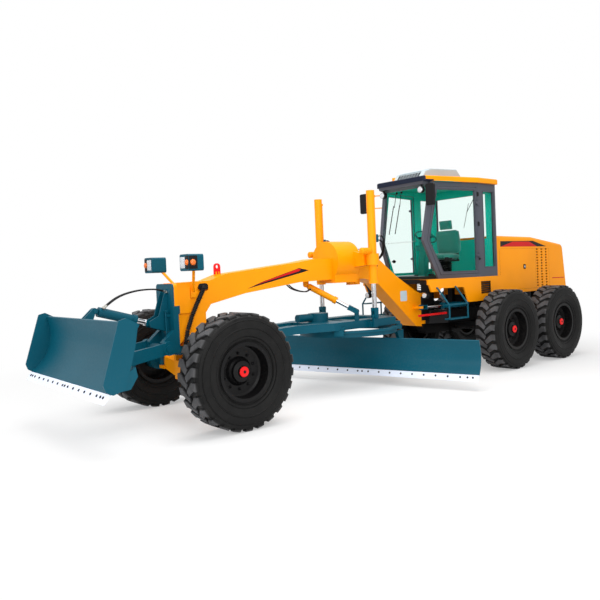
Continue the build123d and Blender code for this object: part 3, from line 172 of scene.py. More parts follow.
# The floor fades to the backdrop's white away from the machine, for the camera alone
floor_half = 60
floor_mesh = bmesh.new()
bmesh.ops.create_grid(floor_mesh, x_segments=1, y_segments=1, size=floor_half)
floor_data = bpy.data.meshes.new("floor")
floor_mesh.to_mesh(floor_data)
floor_mesh.free()
floor = bpy.data.objects.new("floor", floor_data)
scene.collection.objects.link(floor)
floor_paint, floor_tree, floor_shader = new_material("floor")
set_inputs(
    floor_shader,
    {"Base Color": (0.86, 0.86, 0.86, 1), "Roughness": 0.9, "Specular IOR Level": 0.1},
)
fade = {"From Min": 3.5, "From Max": 8.5, "To Min": 0.35, "To Max": 1.0}
from_middle = add(floor_tree, "ShaderNodeVectorMath", operation="LENGTH")
far_off = add(floor_tree, "ShaderNodeMapRange", fade, interpolation_type="SMOOTHSTEP")
to_camera = add(floor_tree, "ShaderNodeLightPath").outputs["Is Camera Ray"]
white_part = math_node(floor_tree, "MULTIPLY", far_off.outputs["Result"], to_camera)
floor_white = add(floor_tree, "ShaderNodeEmission")
floor_mix = add(floor_tree, "ShaderNodeMixShader")
link_all(
    floor_tree,
    (object_place(floor_tree), from_middle.inputs[0]),
    (from_middle.outputs["Value"], far_off.inputs["Value"]),
    (white_part, floor_mix.inputs[0]),
    (floor_shader.outputs[0], floor_mix.inputs[1]),
    (floor_white.outputs[0], floor_mix.inputs[2]),
    (floor_mix.outputs[0], floor_tree.nodes["Material Output"].inputs["Surface"]),
)
floor_data.materials.append(floor_paint)


# Paint: two coats over primed steel plate, in four shades. The sheen has a faint orange peel,
# the tone drifts a little between panels, and dust settles low down.
def node_group(name, sockets_in, sockets_out):
    group = bpy.data.node_groups.new(name, "ShaderNodeTree")
    for label, kind in sockets_in:
        group.interface.new_socket(label, in_out="INPUT", socket_type=kind)
    for label, kind in sockets_out:
        group.interface.new_socket(label, in_out="OUTPUT", socket_type=kind)
    return group, group.nodes.new("NodeGroupInput"), group.nodes.new("NodeGroupOutput")


def noise(tree, coordinates, scale, detail):
    node = add(tree, "ShaderNodeTexNoise", {"Scale": scale, "Detail": detail})
    tree.links.new(coordinates, node.inputs["Vector"])
    return node.outputs["Fac"]


def spread(tree, value, low, high, out_low, out_high):
    # Carries a range of values over to another, held at its ends
    ranges = {"From Min": low, "From Max": high, "To Min": out_low, "To Max": out_high}
    node = add(tree, "ShaderNodeMapRange", ranges)
    tree.links.new(value, node.inputs["Value"])
    return node.outputs["Result"]


def product(tree, first, *others):
    for other in others:
        first = math_node(tree, "MULTIPLY", first, other)
    return first


def mix_colour(tree, mask, first, second):
    node = add(tree, "ShaderNodeMix", data_type="RGBA")
    for number, value in ((0, mask), (6, first), (7, second)):
        plug(tree, value, node.inputs[number])
    return node.outputs[2]


def emboss(tree, height, distance, shader):
    relief = add(tree, "ShaderNodeBump", {"Distance": distance})
    tree.links.new(height, relief.inputs["Height"])
    tree.links.new(relief.outputs["Normal"], shader.inputs["Normal"])


def place_parts(tree):
    # X, Y and Z on the machine
    parts = add(tree, "ShaderNodeSeparateXYZ")
    tree.links.new(object_place(tree), parts.inputs[0])
    return parts.outputs


def make_finish_group():
    # Tone, dust and roughness over a painted or moulded surface, from its place on the machine
    group, inputs, outputs = node_group(
        "surface_finish",
        (
            ("Colour", "NodeSocketColor"),
            ("Dust colour", "NodeSocketColor"),
            ("Dust", "NodeSocketFloat"),
            ("Roughness", "NodeSocketFloat"),
            ("Peel", "NodeSocketFloat"),
        ),
        (
            ("Colour", "NodeSocketColor"),
            ("Roughness", "NodeSocketFloat"),
            ("Height", "NodeSocketFloat"),
        ),
    )
    place = object_place(group)
    broad = noise(group, place, 1.3, 3)
    fine = noise(group, place, 38, 5)
    peel = noise(group, place, 420, 2)
    low_down = spread(group, place_parts(group)["Z"], 1.3, 0.1, 0.0, 1.0)
    patches = spread(group, fine, 0.42, 0.68, 0.0, 1.0)
    clouds = spread(group, broad, 0.35, 0.7, 0.15, 1.0)
    mask = product(group, patches, clouds, low_down, inputs.outputs["Dust"])
    tone = spread(group, broad, 0.3, 0.7, 0.94, 1.05)
    toned = add(group, "ShaderNodeVectorMath", operation="SCALE")
    colour = mix_colour(group, mask, toned.outputs[0], inputs.outputs["Dust colour"])
    dulled = product(group, mask, 0.4)
    rough = math_node(group, "ADD", inputs.outputs["Roughness"], dulled)
    rough = math_node(group, "ADD", rough, spread(group, fine, 0.3, 0.7, -0.03, 0.05))
    height = product(group, peel, inputs.outputs["Peel"])
    link_all(
        group,
        (inputs.outputs["Colour"], toned.inputs[0]),
        (tone, toned.inputs["Scale"]),
        (colour, outputs.inputs["Colour"]),
        (rough, outputs.inputs["Roughness"]),
        (height, outputs.inputs["Height"]),
    )
    return group


surface_finish = make_finish_group()
sheen = 0.16


def finished(
    name, colour, roughness, dust=0.0, peel=0.2, metallic=0.0, coat=0.0, bump=0.0006, base=None
):
    # A material whose colour, roughness and fine relief come from the shared finish. A base is
    # a function that gives a varying colour in place of the plain one.
    material, tree, shader = new_material(name)
    finish = add(tree, "ShaderNodeGroup", node_tree=surface_finish)
    plug(tree, base(tree) if base else colour, finish.inputs["Colour"])
    set_inputs(
        finish,
        {
            "Dust colour": (0.30, 0.26, 0.21, 1),
            "Dust": dust,
            "Roughness": roughness,
            "Peel": peel,
        },
    )
    emboss(tree, finish.outputs["Height"], bump, shader)
    tree.links.new(finish.outputs["Colour"], shader.inputs["Base Color"])
    tree.links.new(finish.outputs["Roughness"], shader.inputs["Roughness"])
    set_inputs(
        shader,
        {
            "Metallic": metallic,
            "Coat Weight": coat,
            "Coat Roughness": 0.12,
            "Specular IOR Level": sheen,
        },
    )
    return material


yellow_tone = (1.0, 0.335, 0.0)
teal_tone = (0.0, 0.076, 0.118)
black_tone = (0.006, 0.006, 0.007)
red_tone = (0.80, 0.010, 0.012)
yellow = finished("yellow_paint", yellow_tone, 0.42, dust=0.04, coat=0.02)
teal = finished("teal_paint", teal_tone, 0.40, dust=0.04, coat=0.03)
black = finished("black_paint", black_tone, 0.45, dust=0.10)
red = finished("red_paint", red_tone, 0.38, dust=0.03, coat=0.05)


def dress(material, *names):
    # Gives CAD pieces one material
    for name in names:
        data = nodes[name].data
        data.materials.clear()
        data.materials.append(material)


dress(yellow, "gooseneck", "saddle", "hood", "lift_barrels", "shift_barrel", "front_axle")
dress(
    teal,
    "dozer_blade", "dozer_barrel", "drawbar", "circle", "circle_shoes", "moldboard",
    "blade_carrier", "side_shift_barrel", "artic_barrel_left", "artic_barrel_right", "steps",
    "knuckle_left", "knuckle_right", "tie_rod", "circle_drive",
)
dress(black, "tandem_axle", "tail_weight")


# Paint by place: the lifting eye and the hitch's lock bar are red on their yellow and black frames,
# the lamp arms are yellow under teal housings, the teal head plate's cheeks are yellow like the
# nose that they clasp, and inside its skirts the body is painted black as shade, with black vent
# bars.
def inside_box(tree, low, high):
    # 1 where the surface lies between two corners of a box, else 0
    inside = 1.0
    for part, least, most in zip(place_parts(tree), low, high):
        above = math_node(tree, "GREATER_THAN", part, least)
        below = math_node(tree, "LESS_THAN", part, most)
        inside = product(tree, inside, above, below)
    return inside


def painted_by_place(name, main, patches):
    # The main colour, with another inside each box, given as its low and high corners and a colour
    def base(tree):
        colour = main
        for low, high, other in patches:
            colour = mix_colour(tree, inside_box(tree, low, high), colour, other)
        return colour

    return finished(name, main, 0.42, dust=0.04, coat=0.02, base=base)


frame_patches = (
    ((2.84, -0.02, 1.80), (2.96, 0.02, 1.96), red_tone),
    ((2.872, -0.02, 1.775), (2.890, 0.02, 1.835), yellow_tone),
    ((2.912, -0.02, 1.775), (2.930, 0.02, 1.835), yellow_tone),
)
rear_patches = (((-1.30, 0.38, 0.96), (-0.59, 0.45, 1.02), red_tone),)
lamp_patches = (((3.30, -0.80, 1.50), (3.60, 0.80, 1.849), yellow_tone),)
body_patches = (
    # Painted shade: the deck's underside and the skirts' inner faces are black where shade falls;
    # then the skirt vents in black
    ((-2.60, -0.705, 1.150), (-0.40, 0.705, 1.5785), black_tone),
    ((-2.170, -0.7385, 1.280), (-1.870, 0.7385, 1.510), black_tone),
)
head_patches = (
    ((3.20, -0.30, 1.430), (3.652, 0.30, 1.90), yellow_tone),
    ((3.20, -0.30, 0.900), (3.560, 0.30, 1.430), yellow_tone),
)
for paint_name, main, patches, node in (
    ("frame_paint", yellow_tone, frame_patches, "front_frame"),
    ("rear_frame_paint", black_tone, rear_patches, "rear_frame"),
    ("head_lamp_paint", teal_tone, lamp_patches, "head_lamps"),
    ("lower_body_paint_and_shade", yellow_tone, body_patches, "lower_body"),
    ("head_plate_paint", teal_tone, head_patches, "head_plate"),
):
    dress(painted_by_place(paint_name, main, patches), node)


# Bare metal: hard-chromed rods whose forged forks are painted teal like the gear they hold, and
# cutting edges of pale painted steel that wear bright.
chrome_tone = (0.72, 0.73, 0.75)


def rod_finish(name, eyes, reach):
    # Chrome, with paint nearer to one of the eyes than a distance
    def fork(tree):
        mask = 0.0
        for eye_place in eyes:
            away = add(tree, "ShaderNodeVectorMath", operation="DISTANCE")
            tree.links.new(object_place(tree), away.inputs[0])
            away.inputs[1].default_value = eye_place
            near = math_node(tree, "LESS_THAN", away.outputs["Value"], reach)
            mask = math_node(tree, "MAXIMUM", mask, near)
        return mask

    def base(tree):
        return mix_colour(tree, fork(tree), chrome_tone, teal_tone)

    material = finished(name, chrome_tone, 0.16, peel=0.05, base=base)
    tree = material.node_tree
    bare = math_node(tree, "SUBTRACT", 1.0, fork(tree))
    tree.links.new(bare, tree.nodes["Principled BSDF"].inputs["Metallic"])
    return material


chrome = finished("hard_chrome", chrome_tone, 0.16, metallic=1.0, peel=0.05)
edge_steel = finished("edge_paint", (0.76, 0.82, 0.95), 0.4, dust=0.05)
dress(chrome, "side_shift_rod")
dress(edge_steel, "dozer_edge", "moldboard_edge")
for name, eyes, reach in (
    # rod, the middles of its eyes, how far its painted fork reaches
    ("lift_rods", ((0.590, 0.600, 1.080), (0.590, -0.600, 1.080)), 0.138),
    ("shift_rod", ((0.840, 0.470, 1.170),), 0.143),
    ("dozer_rod", ((3.830, 0.0, 1.215),), 0.122),
    ("artic_rod_left", ((-0.810, 0.290, 1.120),), 0.124),
    ("artic_rod_right", ((-0.810, -0.290, 1.120),), 0.124),
):
    dress(rod_finish(name + "_finish", eyes, reach), name)


# Tyres: matt black rubber, paler with road dust on the tread, with raised rings round the
# sidewall. Each axle's tyres share a material centred on that axle.
def tyre_rubber(name, axle_x, axle_z):
    material, tree, shader = new_material(name)
    place = object_place(tree)
    from_axle = {"Location": (-axle_x, 0, -axle_z)}
    centred = add(tree, "ShaderNodeMapping", from_axle, vector_type="POINT")
    flat = add(tree, "ShaderNodeVectorMath", operation="MULTIPLY")
    flat.inputs[1].default_value = (1, 0, 1)
    length = add(tree, "ShaderNodeVectorMath", operation="LENGTH")
    link_all(
        tree,
        (place, centred.inputs["Vector"]),
        (centred.outputs[0], flat.inputs[0]),
        (flat.outputs[0], length.inputs[0]),
    )
    radius = length.outputs["Value"]
    rings = 0.0
    # Radius and half width of each raised ring
    for ring_radius, half_width in ((0.372, 0.010), (0.405, 0.007), (0.500, 0.012), (0.590, 0.008)):
        off = math_node(tree, "ABSOLUTE", math_node(tree, "SUBTRACT", radius, ring_radius), 0.0)
        rings = math_node(tree, "MAXIMUM", rings, spread(tree, off, 0.0, half_width, 1.0, 0.0))
    grain = noise(tree, place, 260, 4)
    cloud = noise(tree, place, 7, 4)
    near_tread = spread(tree, radius, 0.60, 0.67, 0.12, 0.5)
    dusty = product(tree, spread(tree, cloud, 0.4, 0.7, 0.0, 1.0), near_tread)
    lug_tops = spread(tree, radius, 0.650, 0.668, 0.0, 1.0)
    worn = product(tree, lug_tops, spread(tree, cloud, 0.3, 0.7, 0.35, 0.9))
    colour = mix_colour(tree, dusty, (0.0045, 0.0045, 0.0045), (0.045, 0.044, 0.042))
    colour = mix_colour(tree, worn, colour, (0.105, 0.105, 0.110))
    emboss(tree, math_node(tree, "ADD", rings, product(tree, grain, 0.04)), 0.012, shader)
    roughness = spread(tree, cloud, 0.3, 0.7, 0.48, 0.66)
    tree.links.new(colour, shader.inputs["Base Color"])
    tree.links.new(roughness, shader.inputs["Roughness"])
    set_inputs(shader, {"Specular IOR Level": sheen})
    return material


wheels = ("front_left", "front_right", "mid_left", "mid_right", "rear_left", "rear_right")
hubs, rubbers = {}, {}
for wheel in wheels:
    low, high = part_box("rim_" + wheel)
    hub = hubs[wheel] = Vector([(a + b) / 2 for a, b in zip(low, high)])
    axle = wheel.split("_")[0]
    if axle not in rubbers:
        rubbers[axle] = tyre_rubber("tyre_" + axle, hub.x, hub.z)
    dress(rubbers[axle], "tyre_" + wheel)
rim_paint = finished("rim_paint", (0.004, 0.004, 0.0045), 0.36, dust=0.06, coat=0.02)
dress(rim_paint, *["rim_" + wheel for wheel in wheels])


# Hub caps and wheel nuts: a pressed red cap over each hub end with a black plug in its middle,
# and ten steel nuts on their studs round the wheel disc.
merge_distance = 0.00002
sharp_from = math.radians(35)


def place_into(mesh, part, matrix, slot):
    # Adds a finished part to a piece's mesh, moved by a matrix, in one of its materials
    part.transform(matrix)
    for face in part.faces:
        face.material_index = slot
    data = bpy.data.meshes.new("part")
    part.to_mesh(data)
    part.free()
    mesh.from_mesh(data)
    bpy.data.meshes.remove(data)


def aimed(place, direction):
    turned = Vector(direction).to_track_quat("Z", "Y").to_matrix().to_4x4()
    return Matrix.Translation(place) @ turned


def add_turned(mesh, profile, place, direction, steps=40, slot=0):
    # Spins (radius, distance) points round a line from a place in a direction
    part = bmesh.new()
    points = [part.verts.new((radius, 0, along)) for radius, along in profile]
    edges = [part.edges.new(pair) for pair in zip(points, points[1:])]
    bmesh.ops.spin(
        part,
        geom=points + edges,
        cent=(0, 0, 0),
        axis=(0, 0, 1),
        angle=math.tau,
        steps=steps,
        use_merge=True,
    )
    bmesh.ops.remove_doubles(part, verts=part.verts, dist=merge_distance)
    place_into(mesh, part, aimed(place, direction), slot)


def add_bolt(mesh, place, direction, size, height, slot=0):
    # A hexagon head on a washer; size is half its width across corners
    rim, top = size * 1.25, height * 0.18
    washer = ((0, 0), (rim, 0), (rim, top), (0, top))
    foot, shoulder = height * 0.1, height * 0.88
    head = ((0, foot), (size, foot), (size, shoulder), (size * 0.85, height), (0, height))
    add_turned(mesh, washer, place, direction, 14, slot)
    add_turned(mesh, head, place, direction, 6, slot)


def new_piece(name, mesh, materials, body):
    # Makes a piece of a finished mesh.
    bmesh.ops.recalc_face_normals(mesh, faces=mesh.faces)
    data = bpy.data.meshes.new(name)
    mesh.to_mesh(data)
    mesh.free()
    for material in materials:
        data.materials.append(material)
    data.shade_smooth()
    data.set_sharp_from_angle(angle=sharp_from)
    piece = bpy.data.objects.new(name, data)
    scene.collection.objects.link(piece)
    if body:
        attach(piece, body)
    return piece


hub_face = 1.2182
disc_face = 1.1085
nut_circle = 0.205
nut_count = 10
cap_dome = [(0, 0), (0.060, 0), (0.061, 0.004), (0.057, 0.010), (0.046, 0.014)]
cap_dome += [(0.022, 0.0155), (0, 0.0155)]
plug_profile = ((0, 0.0150), (0.018, 0.0150), (0.018, 0.0175), (0.012, 0.0190), (0, 0.0190))
stud = ((0, 0), (0.009, 0), (0.009, 0.030), (0.0075, 0.032), (0, 0.032))
for wheel in wheels:
    side = 1 if wheel.endswith("left") else -1
    hub = hubs[wheel]
    hub_end = Vector((hub.x, side * hub_face, hub.z))
    cap = bmesh.new()
    add_turned(cap, cap_dome, hub_end, (0, side, 0))
    add_turned(cap, plug_profile, hub_end, (0, side, 0), 20, 1)
    new_piece("hub_cap_" + wheel, cap, (red, black), "wheel_" + wheel)
    nuts = bmesh.new()
    for number in range(nut_count):
        angle = math.tau * (number + 0.5) / nut_count
        x = hub.x + nut_circle * math.cos(angle)
        z = hub.z + nut_circle * math.sin(angle)
        add_bolt(nuts, (x, side * disc_face, z), (0, side, 0), 0.017, 0.020)
        add_turned(nuts, stud, (x, side * disc_face, z), (0, side, 0), 10)
    new_piece("wheel_nuts_" + wheel, nuts, (black,), "wheel_" + wheel)


# Cutting edge bolts: plough bolts in a row along both edges, doubled at the ends and the middle.
bolt_steel = finished("bolt_steel", (0.03, 0.03, 0.035), 0.5, dust=0.1)


def row_places(half, count, pair):
    places = [-half + 2 * half * number / (count - 1) for number in range(count)]
    return sorted(places + [-half + pair, half - pair, pair])


dozer_row_x, dozer_row_z = 4.9522, 0.6288
dozer_bolts = bmesh.new()
for y in row_places(1.17, 15, 0.07):
    add_bolt(dozer_bolts, (dozer_row_x, y, dozer_row_z), (0.836, 0, 0.549), 0.013, 0.008)
new_piece("dozer_edge_bolts", dozer_bolts, (bolt_steel,), "dozer")
circle_turn = math.radians(15)
across = Vector((-math.sin(circle_turn), math.cos(circle_turn), 0))
ahead = Vector((math.cos(circle_turn), math.sin(circle_turn), 0))
blade_normal = ahead * 0.955 + Vector((0, 0, 0.297))
row_middle = Vector((0.590, 0, 0.195)) + ahead * -0.134
blade_shift = 0.060
blade_bolts = bmesh.new()
for along in row_places(1.90, 21, 0.08):
    place = row_middle + across * (along + blade_shift)
    add_bolt(blade_bolts, place, blade_normal, 0.012, 0.007)
new_piece("moldboard_edge_bolts", blade_bolts, (bolt_steel,), "moldboard")


# Painted marks and plate: black and red wedges on both sides of the beam and the hood, a thin red
# strip at the hood's tail, a blank pale plate and the bolt heads on the gooseneck.
def add_sheet(mesh, outline, matrix, thickness, slot=0, rim=0.0):
    # A flat shape drawn in a plane and thickened off it; a rim keeps only its border of that width
    part = bmesh.new()
    face = part.faces.new([part.verts.new((x, y, 0)) for x, y in outline])
    if rim:
        bmesh.ops.inset_region(
            part, faces=[face], thickness=rim, use_boundary=True, use_even_offset=True
        )
        bmesh.ops.delete(part, geom=[face], context="FACES")
    grown = bmesh.ops.extrude_face_region(part, geom=list(part.faces))["geom"]
    lifted = [corner for corner in grown if isinstance(corner, bmesh.types.BMVert)]
    bmesh.ops.translate(part, vec=(0, 0, thickness), verts=lifted)
    place_into(mesh, part, matrix, slot)


def add_oblong(mesh, x_low, x_high, z_low, z_high, plane, thickness):
    outline = ((x_low, z_low), (x_high, z_low), (x_high, z_high), (x_low, z_high))
    add_sheet(mesh, outline, plane, thickness)


def side_plane(side, y):
    # Takes (X, Z) shapes to the machine's left or right side at a distance from its middle
    return Matrix(((1, 0, 0, 0), (0, 0, side, side * y), (0, 1, 0, 0), (0, 0, 0, 1)))


def rounded_outline(x_low, x_high, z_low, z_high, radius):
    points = []
    corners = ((x_high, z_high, 0), (x_low, z_high, 90), (x_low, z_low, 180), (x_high, z_low, 270))
    for x, z, start in corners:
        middle_x = x - radius if start in (0, 270) else x + radius
        middle_z = z - radius if start in (0, 90) else z + radius
        for step in range(6):
            angle = math.radians(start + 18 * step)
            x_out, z_out = radius * math.cos(angle), radius * math.sin(angle)
            points.append((middle_x + x_out, middle_z + z_out))
    return points


def add_panel(mesh, x_low, x_high, z_low, z_high, radius, plane, thickness, slot=0, rim=0.0):
    outline = rounded_outline(x_low, x_high, z_low, z_high, radius)
    add_sheet(mesh, outline, plane, thickness, slot, rim)


mark_black = finished("mark_black", (0.010, 0.008, 0.008), 0.4)
mark_red = finished("mark_red", (0.62, 0.008, 0.010), 0.4)
plate_blank = finished("plate_blank", (0.50, 0.60, 0.66), 0.35)
sides = ((1, "left"), (-1, "right"))
film = 0.0006
first_layer, layer_step = 0.0002, 0.0007
beam_side = 0.150
hood_side = 0.620
hood_skin = hood_side + 0.0001
# Slot and outline of each mark; the red ones lie on the black ones
beam_wedges = (
    (0, ((2.535, 1.588), (2.300, 1.668), (1.640, 1.842), (1.452, 1.808), (1.520, 1.790))),
    (1, ((2.400, 1.634), (2.300, 1.663), (1.660, 1.832), (1.600, 1.822), (1.640, 1.797))),
)
hood_wedges = (
    (0, ((-2.670, 2.198), (-2.670, 2.098), (-4.240, 2.098), (-3.760, 2.206))),
    (1, ((-2.670, 2.098), (-3.080, 2.192), (-3.620, 2.192), (-3.900, 2.098))),
    (1, ((-4.420, 1.462), (-4.420, 1.478), (-4.880, 1.472), (-4.880, 1.456))),
)
for side, label in sides:
    for name, wedges, y, body in (
        ("beam", beam_wedges, beam_side, "front"),
        ("hood", hood_wedges, hood_side, "rear"),
    ):
        marks = bmesh.new()
        for slot, outline in wedges:
            out = y + first_layer + layer_step * slot
            add_sheet(marks, outline, side_plane(side, out), film, slot)
        new_piece(f"{name}_marks_{label}", marks, (mark_black, mark_red), body)
plate = bmesh.new()
add_panel(plate, -0.627, -0.470, 1.235, 1.405, 0.018, side_plane(1, beam_side), 0.0016)
new_piece("blank_plate", plate, (plate_blank,), "front")
neck_bolts = bmesh.new()
neck_places = ((-0.555, 1.165), (-0.700, 1.205), (-0.547, 1.060), (-0.700, 1.080), (-0.640, 1.010))
for side in (1, -1):
    for x, z in neck_places:
        add_bolt(neck_bolts, (x, side * beam_side, z), (0, side, 0), 0.012, 0.010)
new_piece("neck_bolts", neck_bolts, (yellow,), "front")


# Hood doors: shut lines round the side doors and a black recessed latch on each, screwed on from
# inside. The lines are thin dark sealing strips in the gaps of the pressed steel panels.
seal_rubber = finished("seal_rubber", (0.008, 0.008, 0.009), 0.6)
seam_low, seam_high = 1.300, 2.060
seam_back, seam_front = -4.320, -2.640
half_seam = 0.001
for side, label in sides:
    lines = bmesh.new()
    skin = side_plane(side, hood_skin)
    for x in (seam_front, -3.830, seam_back):
        add_oblong(lines, x - half_seam, x + half_seam, seam_low, seam_high, skin, film)
    for z in (seam_low, seam_high):
        low, high = z - half_seam, z + half_seam
        add_oblong(lines, seam_back, seam_front, low, high, skin, film + 0.0001)
    new_piece("hood_seams_" + label, lines, (seal_rubber,), "rear")
    latch = bmesh.new()
    add_panel(latch, -3.475, -3.400, 1.675, 1.765, 0.020, skin, 0.004)
    add_panel(latch, -3.475, -3.400, 1.675, 1.765, 0.020, skin, 0.007, 0, 0.008)
    add_panel(latch, -3.452, -3.423, 1.700, 1.740, 0.008, side_plane(side, 0.624), 0.006, 1)
    new_piece("hood_latch_" + label, latch, (black, chrome), "rear")


# Hood slot shade: black sheets behind the side slots and the tail grille, painted shade so that the
# slots read black and no light comes through the empty hood.
def tail_plane(x, y=0):
    # Takes (sideways, height) shapes to a plane that faces the tail
    return Matrix(((0, 0, -1, x), (1, 0, 0, y), (0, 1, 0, 0), (0, 0, 0, 1)))


shade_sheet_black = finished("shade_sheet_black", (0.004, 0.004, 0.004), 0.8)
shade_sheet_thickness = 0.012
hood_slot_shade = bmesh.new()
for side in (1, -1):
    slot_plane = side_plane(side, 0.578)
    add_oblong(hood_slot_shade, -4.340, -3.800, 1.290, 2.100, slot_plane, shade_sheet_thickness)
add_oblong(hood_slot_shade, -0.480, 0.480, 1.340, 2.010, tail_plane(-4.820), shade_sheet_thickness)
new_piece("hood_slot_shade", hood_slot_shade, (shade_sheet_black,), "rear")


# Cab lining and paint: slate paint outside, moulded green lining on whatever faces the operator,
# on the cab's frame, its doors and the underside of the roof, and a black mat on the floor.
lining_green = (0.0, 0.56, 0.43)
slate_tone = (0.080, 0.085, 0.105)
mat_tone = (0.004, 0.012, 0.011)
navy_tone = (0.006, 0.010, 0.026)
cab_side = 0.735
cab_taper = 0.2044
cab_back, cab_front = -2.335, -0.925
mat_top = 1.645
door_hinge_x = -1.840
door_slant = math.radians(11.549)


def cab_paint(name, depth):
    # Slate outside, and the lining's colour deeper than a distance inside the cab's outer faces,
    # which narrow forward of the doors' hinges
    def base(tree):
        along, across, height = place_parts(tree)
        off = math_node(tree, "ABSOLUTE", across, 0)
        past_hinge = math_node(tree, "ADD", along, -door_hinge_x)
        narrowing = product(tree, math_node(tree, "MAXIMUM", past_hinge, 0), cab_taper)
        room = math_node(tree, "SUBTRACT", cab_side, off)
        room = math_node(tree, "SUBTRACT", room, narrowing)
        within = product(
            tree,
            math_node(tree, "GREATER_THAN", room, depth),
            math_node(tree, "GREATER_THAN", along, cab_back),
            math_node(tree, "LESS_THAN", along, cab_front),
        )
        above_floor = math_node(tree, "GREATER_THAN", height, mat_top)
        inner = mix_colour(tree, above_floor, mat_tone, lining_green)
        return mix_colour(tree, within, slate_tone, inner)

    return finished(name, slate_tone, 0.42, dust=0.02, coat=0.02, base=base)


dress(cab_paint("cab_frame_paint", 0.045), "cab_frame")
dress(cab_paint("door_paint", 0.0345), "door_left", "door_right")
roof_patches = (
    ((-2.34, -0.68, 3.18), (-0.93, 0.68, 3.1915), lining_green),
    ((-0.900, -0.90, 3.10), (-0.60, 0.90, 3.215), navy_tone),
    ((-0.745, -0.90, 3.10), (-0.60, 0.90, 3.30), navy_tone),
)
dress(painted_by_place("roof_paint", yellow_tone, roof_patches), "roof")


# Glass: light green safety glass in the windscreen, the doors and the side and rear windows, held
# by black rubber round each pane, with handles and hinges on the doors and a dark frame round
# the rear side windows.
glass, _, glass_shader = new_material("tinted_glass")
set_inputs(
    glass_shader,
    {
        "Base Color": (0.92, 0.99, 0.97, 1),
        "Roughness": 0.0,
        "Transmission Weight": 1.0,
        "IOR": 1.08,
    },
)
dress(glass, "cab_glass", "door_glass_left", "door_glass_right")
cab_skin = cab_side + 0.0002
clear = 0.0003


def door_plane(side, out):
    # Takes (distance forward of the hinge, height) to a door's slanted outer face
    along, off = math.cos(door_slant), math.sin(door_slant)
    return Matrix((
        (along, 0, off, door_hinge_x + off * out),
        (-side * off, 0, side * along, side * (cab_side + along * out)),
        (0, 1, 0, 0),
        (0, 0, 0, 1),
    ))


def screen_plane(low, high, out):
    # Takes (sideways, distance up) to a leaning pane between two (X, Z) lines
    lean = Vector((high[0] - low[0], 0, high[1] - low[1])).normalized()
    return Matrix((
        (0, lean.x, lean.z, low[0] + lean.z * out),
        (1, 0, 0, 0),
        (0, lean.z, -lean.x, low[1] - lean.x * out),
        (0, 0, 0, 1),
    ))


outer_pane = ((0.039, 1.683), (0.785, 1.683), (1.057, 2.220), (0.862, 3.067), (0.039, 3.067))
inner_pane = ((0.051, 1.695), (0.773, 1.695), (1.0438, 2.220), (0.8498, 3.055), (0.051, 3.055))
knuckle = ((0, 0), (0.012, 0), (0.012, 0.075), (0, 0.075))
for side, label in sides:
    door_seal = bmesh.new()
    door_face = door_plane(side, clear)
    add_sheet(door_seal, outer_pane, door_face, 0.004, 0, 0.014)
    add_sheet(door_seal, inner_pane, door_plane(side, -0.0118), 0.003, 0, 0.010)
    new_piece("door_seal_" + label, door_seal, (seal_rubber,), "door_" + label)
    handle = bmesh.new()
    add_panel(handle, 0.665, 0.745, 1.880, 1.935, 0.012, door_face, 0.006)
    add_panel(handle, 0.610, 0.740, 1.895, 1.918, 0.010, door_plane(side, 0.020), 0.010)
    add_panel(handle, 0.715, 0.738, 1.896, 1.917, 0.005, door_plane(side, 0.004), 0.020)
    new_piece("door_handle_" + label, handle, (black,), "door_" + label)
    hinges = bmesh.new()
    cab_face = side_plane(side, cab_skin)
    for z in (1.870, 2.450, 2.960):
        add_turned(hinges, knuckle, (-1.858, side * 0.745, z), (0, 0, 1), 16)
        add_panel(hinges, -1.905, -1.862, z + 0.006, z + 0.069, 0.008, cab_face, 0.005)
    new_piece("door_hinges_" + label, hinges, (black,), "rear")
    side_frame = bmesh.new()
    inner_face = side_plane(side, 0.7092)
    add_panel(side_frame, -2.335, -2.015, 1.735, 3.065, 0.020, cab_face, 0.004, 0, 0.024)
    add_panel(side_frame, -2.319, -2.031, 1.751, 3.049, 0.004, inner_face, 0.003, 0, 0.016)
    new_piece("rear_side_frame_" + label, side_frame, (seal_rubber,), "rear")
screen_seal = bmesh.new()
for low, high, foot_y, foot, head_y, head in (
    # a pane's lower and upper lines, and each edge's half width and distance up the pane
    ((-0.988, 1.630), (-0.708, 2.214), 0.492, 0.002, 0.4355, 0.645),
    ((-0.708, 2.220), (-0.898, 3.115), 0.4355, 0.003, 0.474, 0.912),
):
    edge = ((-foot_y, foot), (foot_y, foot), (head_y, head), (-head_y, head))
    add_sheet(screen_seal, edge, screen_plane(low, high, clear), 0.004, 0, 0.016)
add_panel(screen_seal, -0.558, 0.558, 2.252, 3.048, 0.03, tail_plane(-2.364), 0.004, 0, 0.016)
new_piece("screen_seals", screen_seal, (seal_rubber,), "rear")


# Wipers: two black arms and blades on the windscreen, hung from the header, and one on the rear
# window, each with its hub cap.
def add_rod(mesh, start, end, radius, steps=10, slot=0):
    length = (Vector(end) - Vector(start)).length
    profile = ((0, 0), (radius, 0), (radius, length), (0, length))
    add_turned(mesh, profile, start, Vector(end) - Vector(start), steps, slot)


wipers = bmesh.new()
front_hub = ((0, 0), (0.018, 0), (0.018, 0.020), (0.012, 0.026), (0, 0.026))
rear_hub = ((0, 0), (0.018, 0), (0.018, 0.020), (0, 0.026))
for y, low_y in ((-0.09, -0.13), (-0.20, -0.27)):
    pivot = (-0.868, y, 3.075)
    elbow = (-0.822, (y + low_y) / 2, 2.830)
    add_turned(wipers, front_hub, pivot, (0.98, 0, 0.2), 16)
    add_rod(wipers, (-0.848, y, 3.079), elbow, 0.0055)
    add_rod(wipers, (-0.826, low_y + 0.012, 2.860), (-0.720, low_y - 0.020, 2.370), 0.0045)
    add_rod(wipers, (-0.836, low_y + 0.012, 2.858), (-0.730, low_y - 0.020, 2.368), 0.0035)
add_turned(wipers, rear_hub, (-2.3645, 0.30, 3.02), (-1, 0, 0), 16)
add_rod(wipers, (-2.382, 0.30, 3.02), (-2.380, 0.12, 2.76), 0.0055)
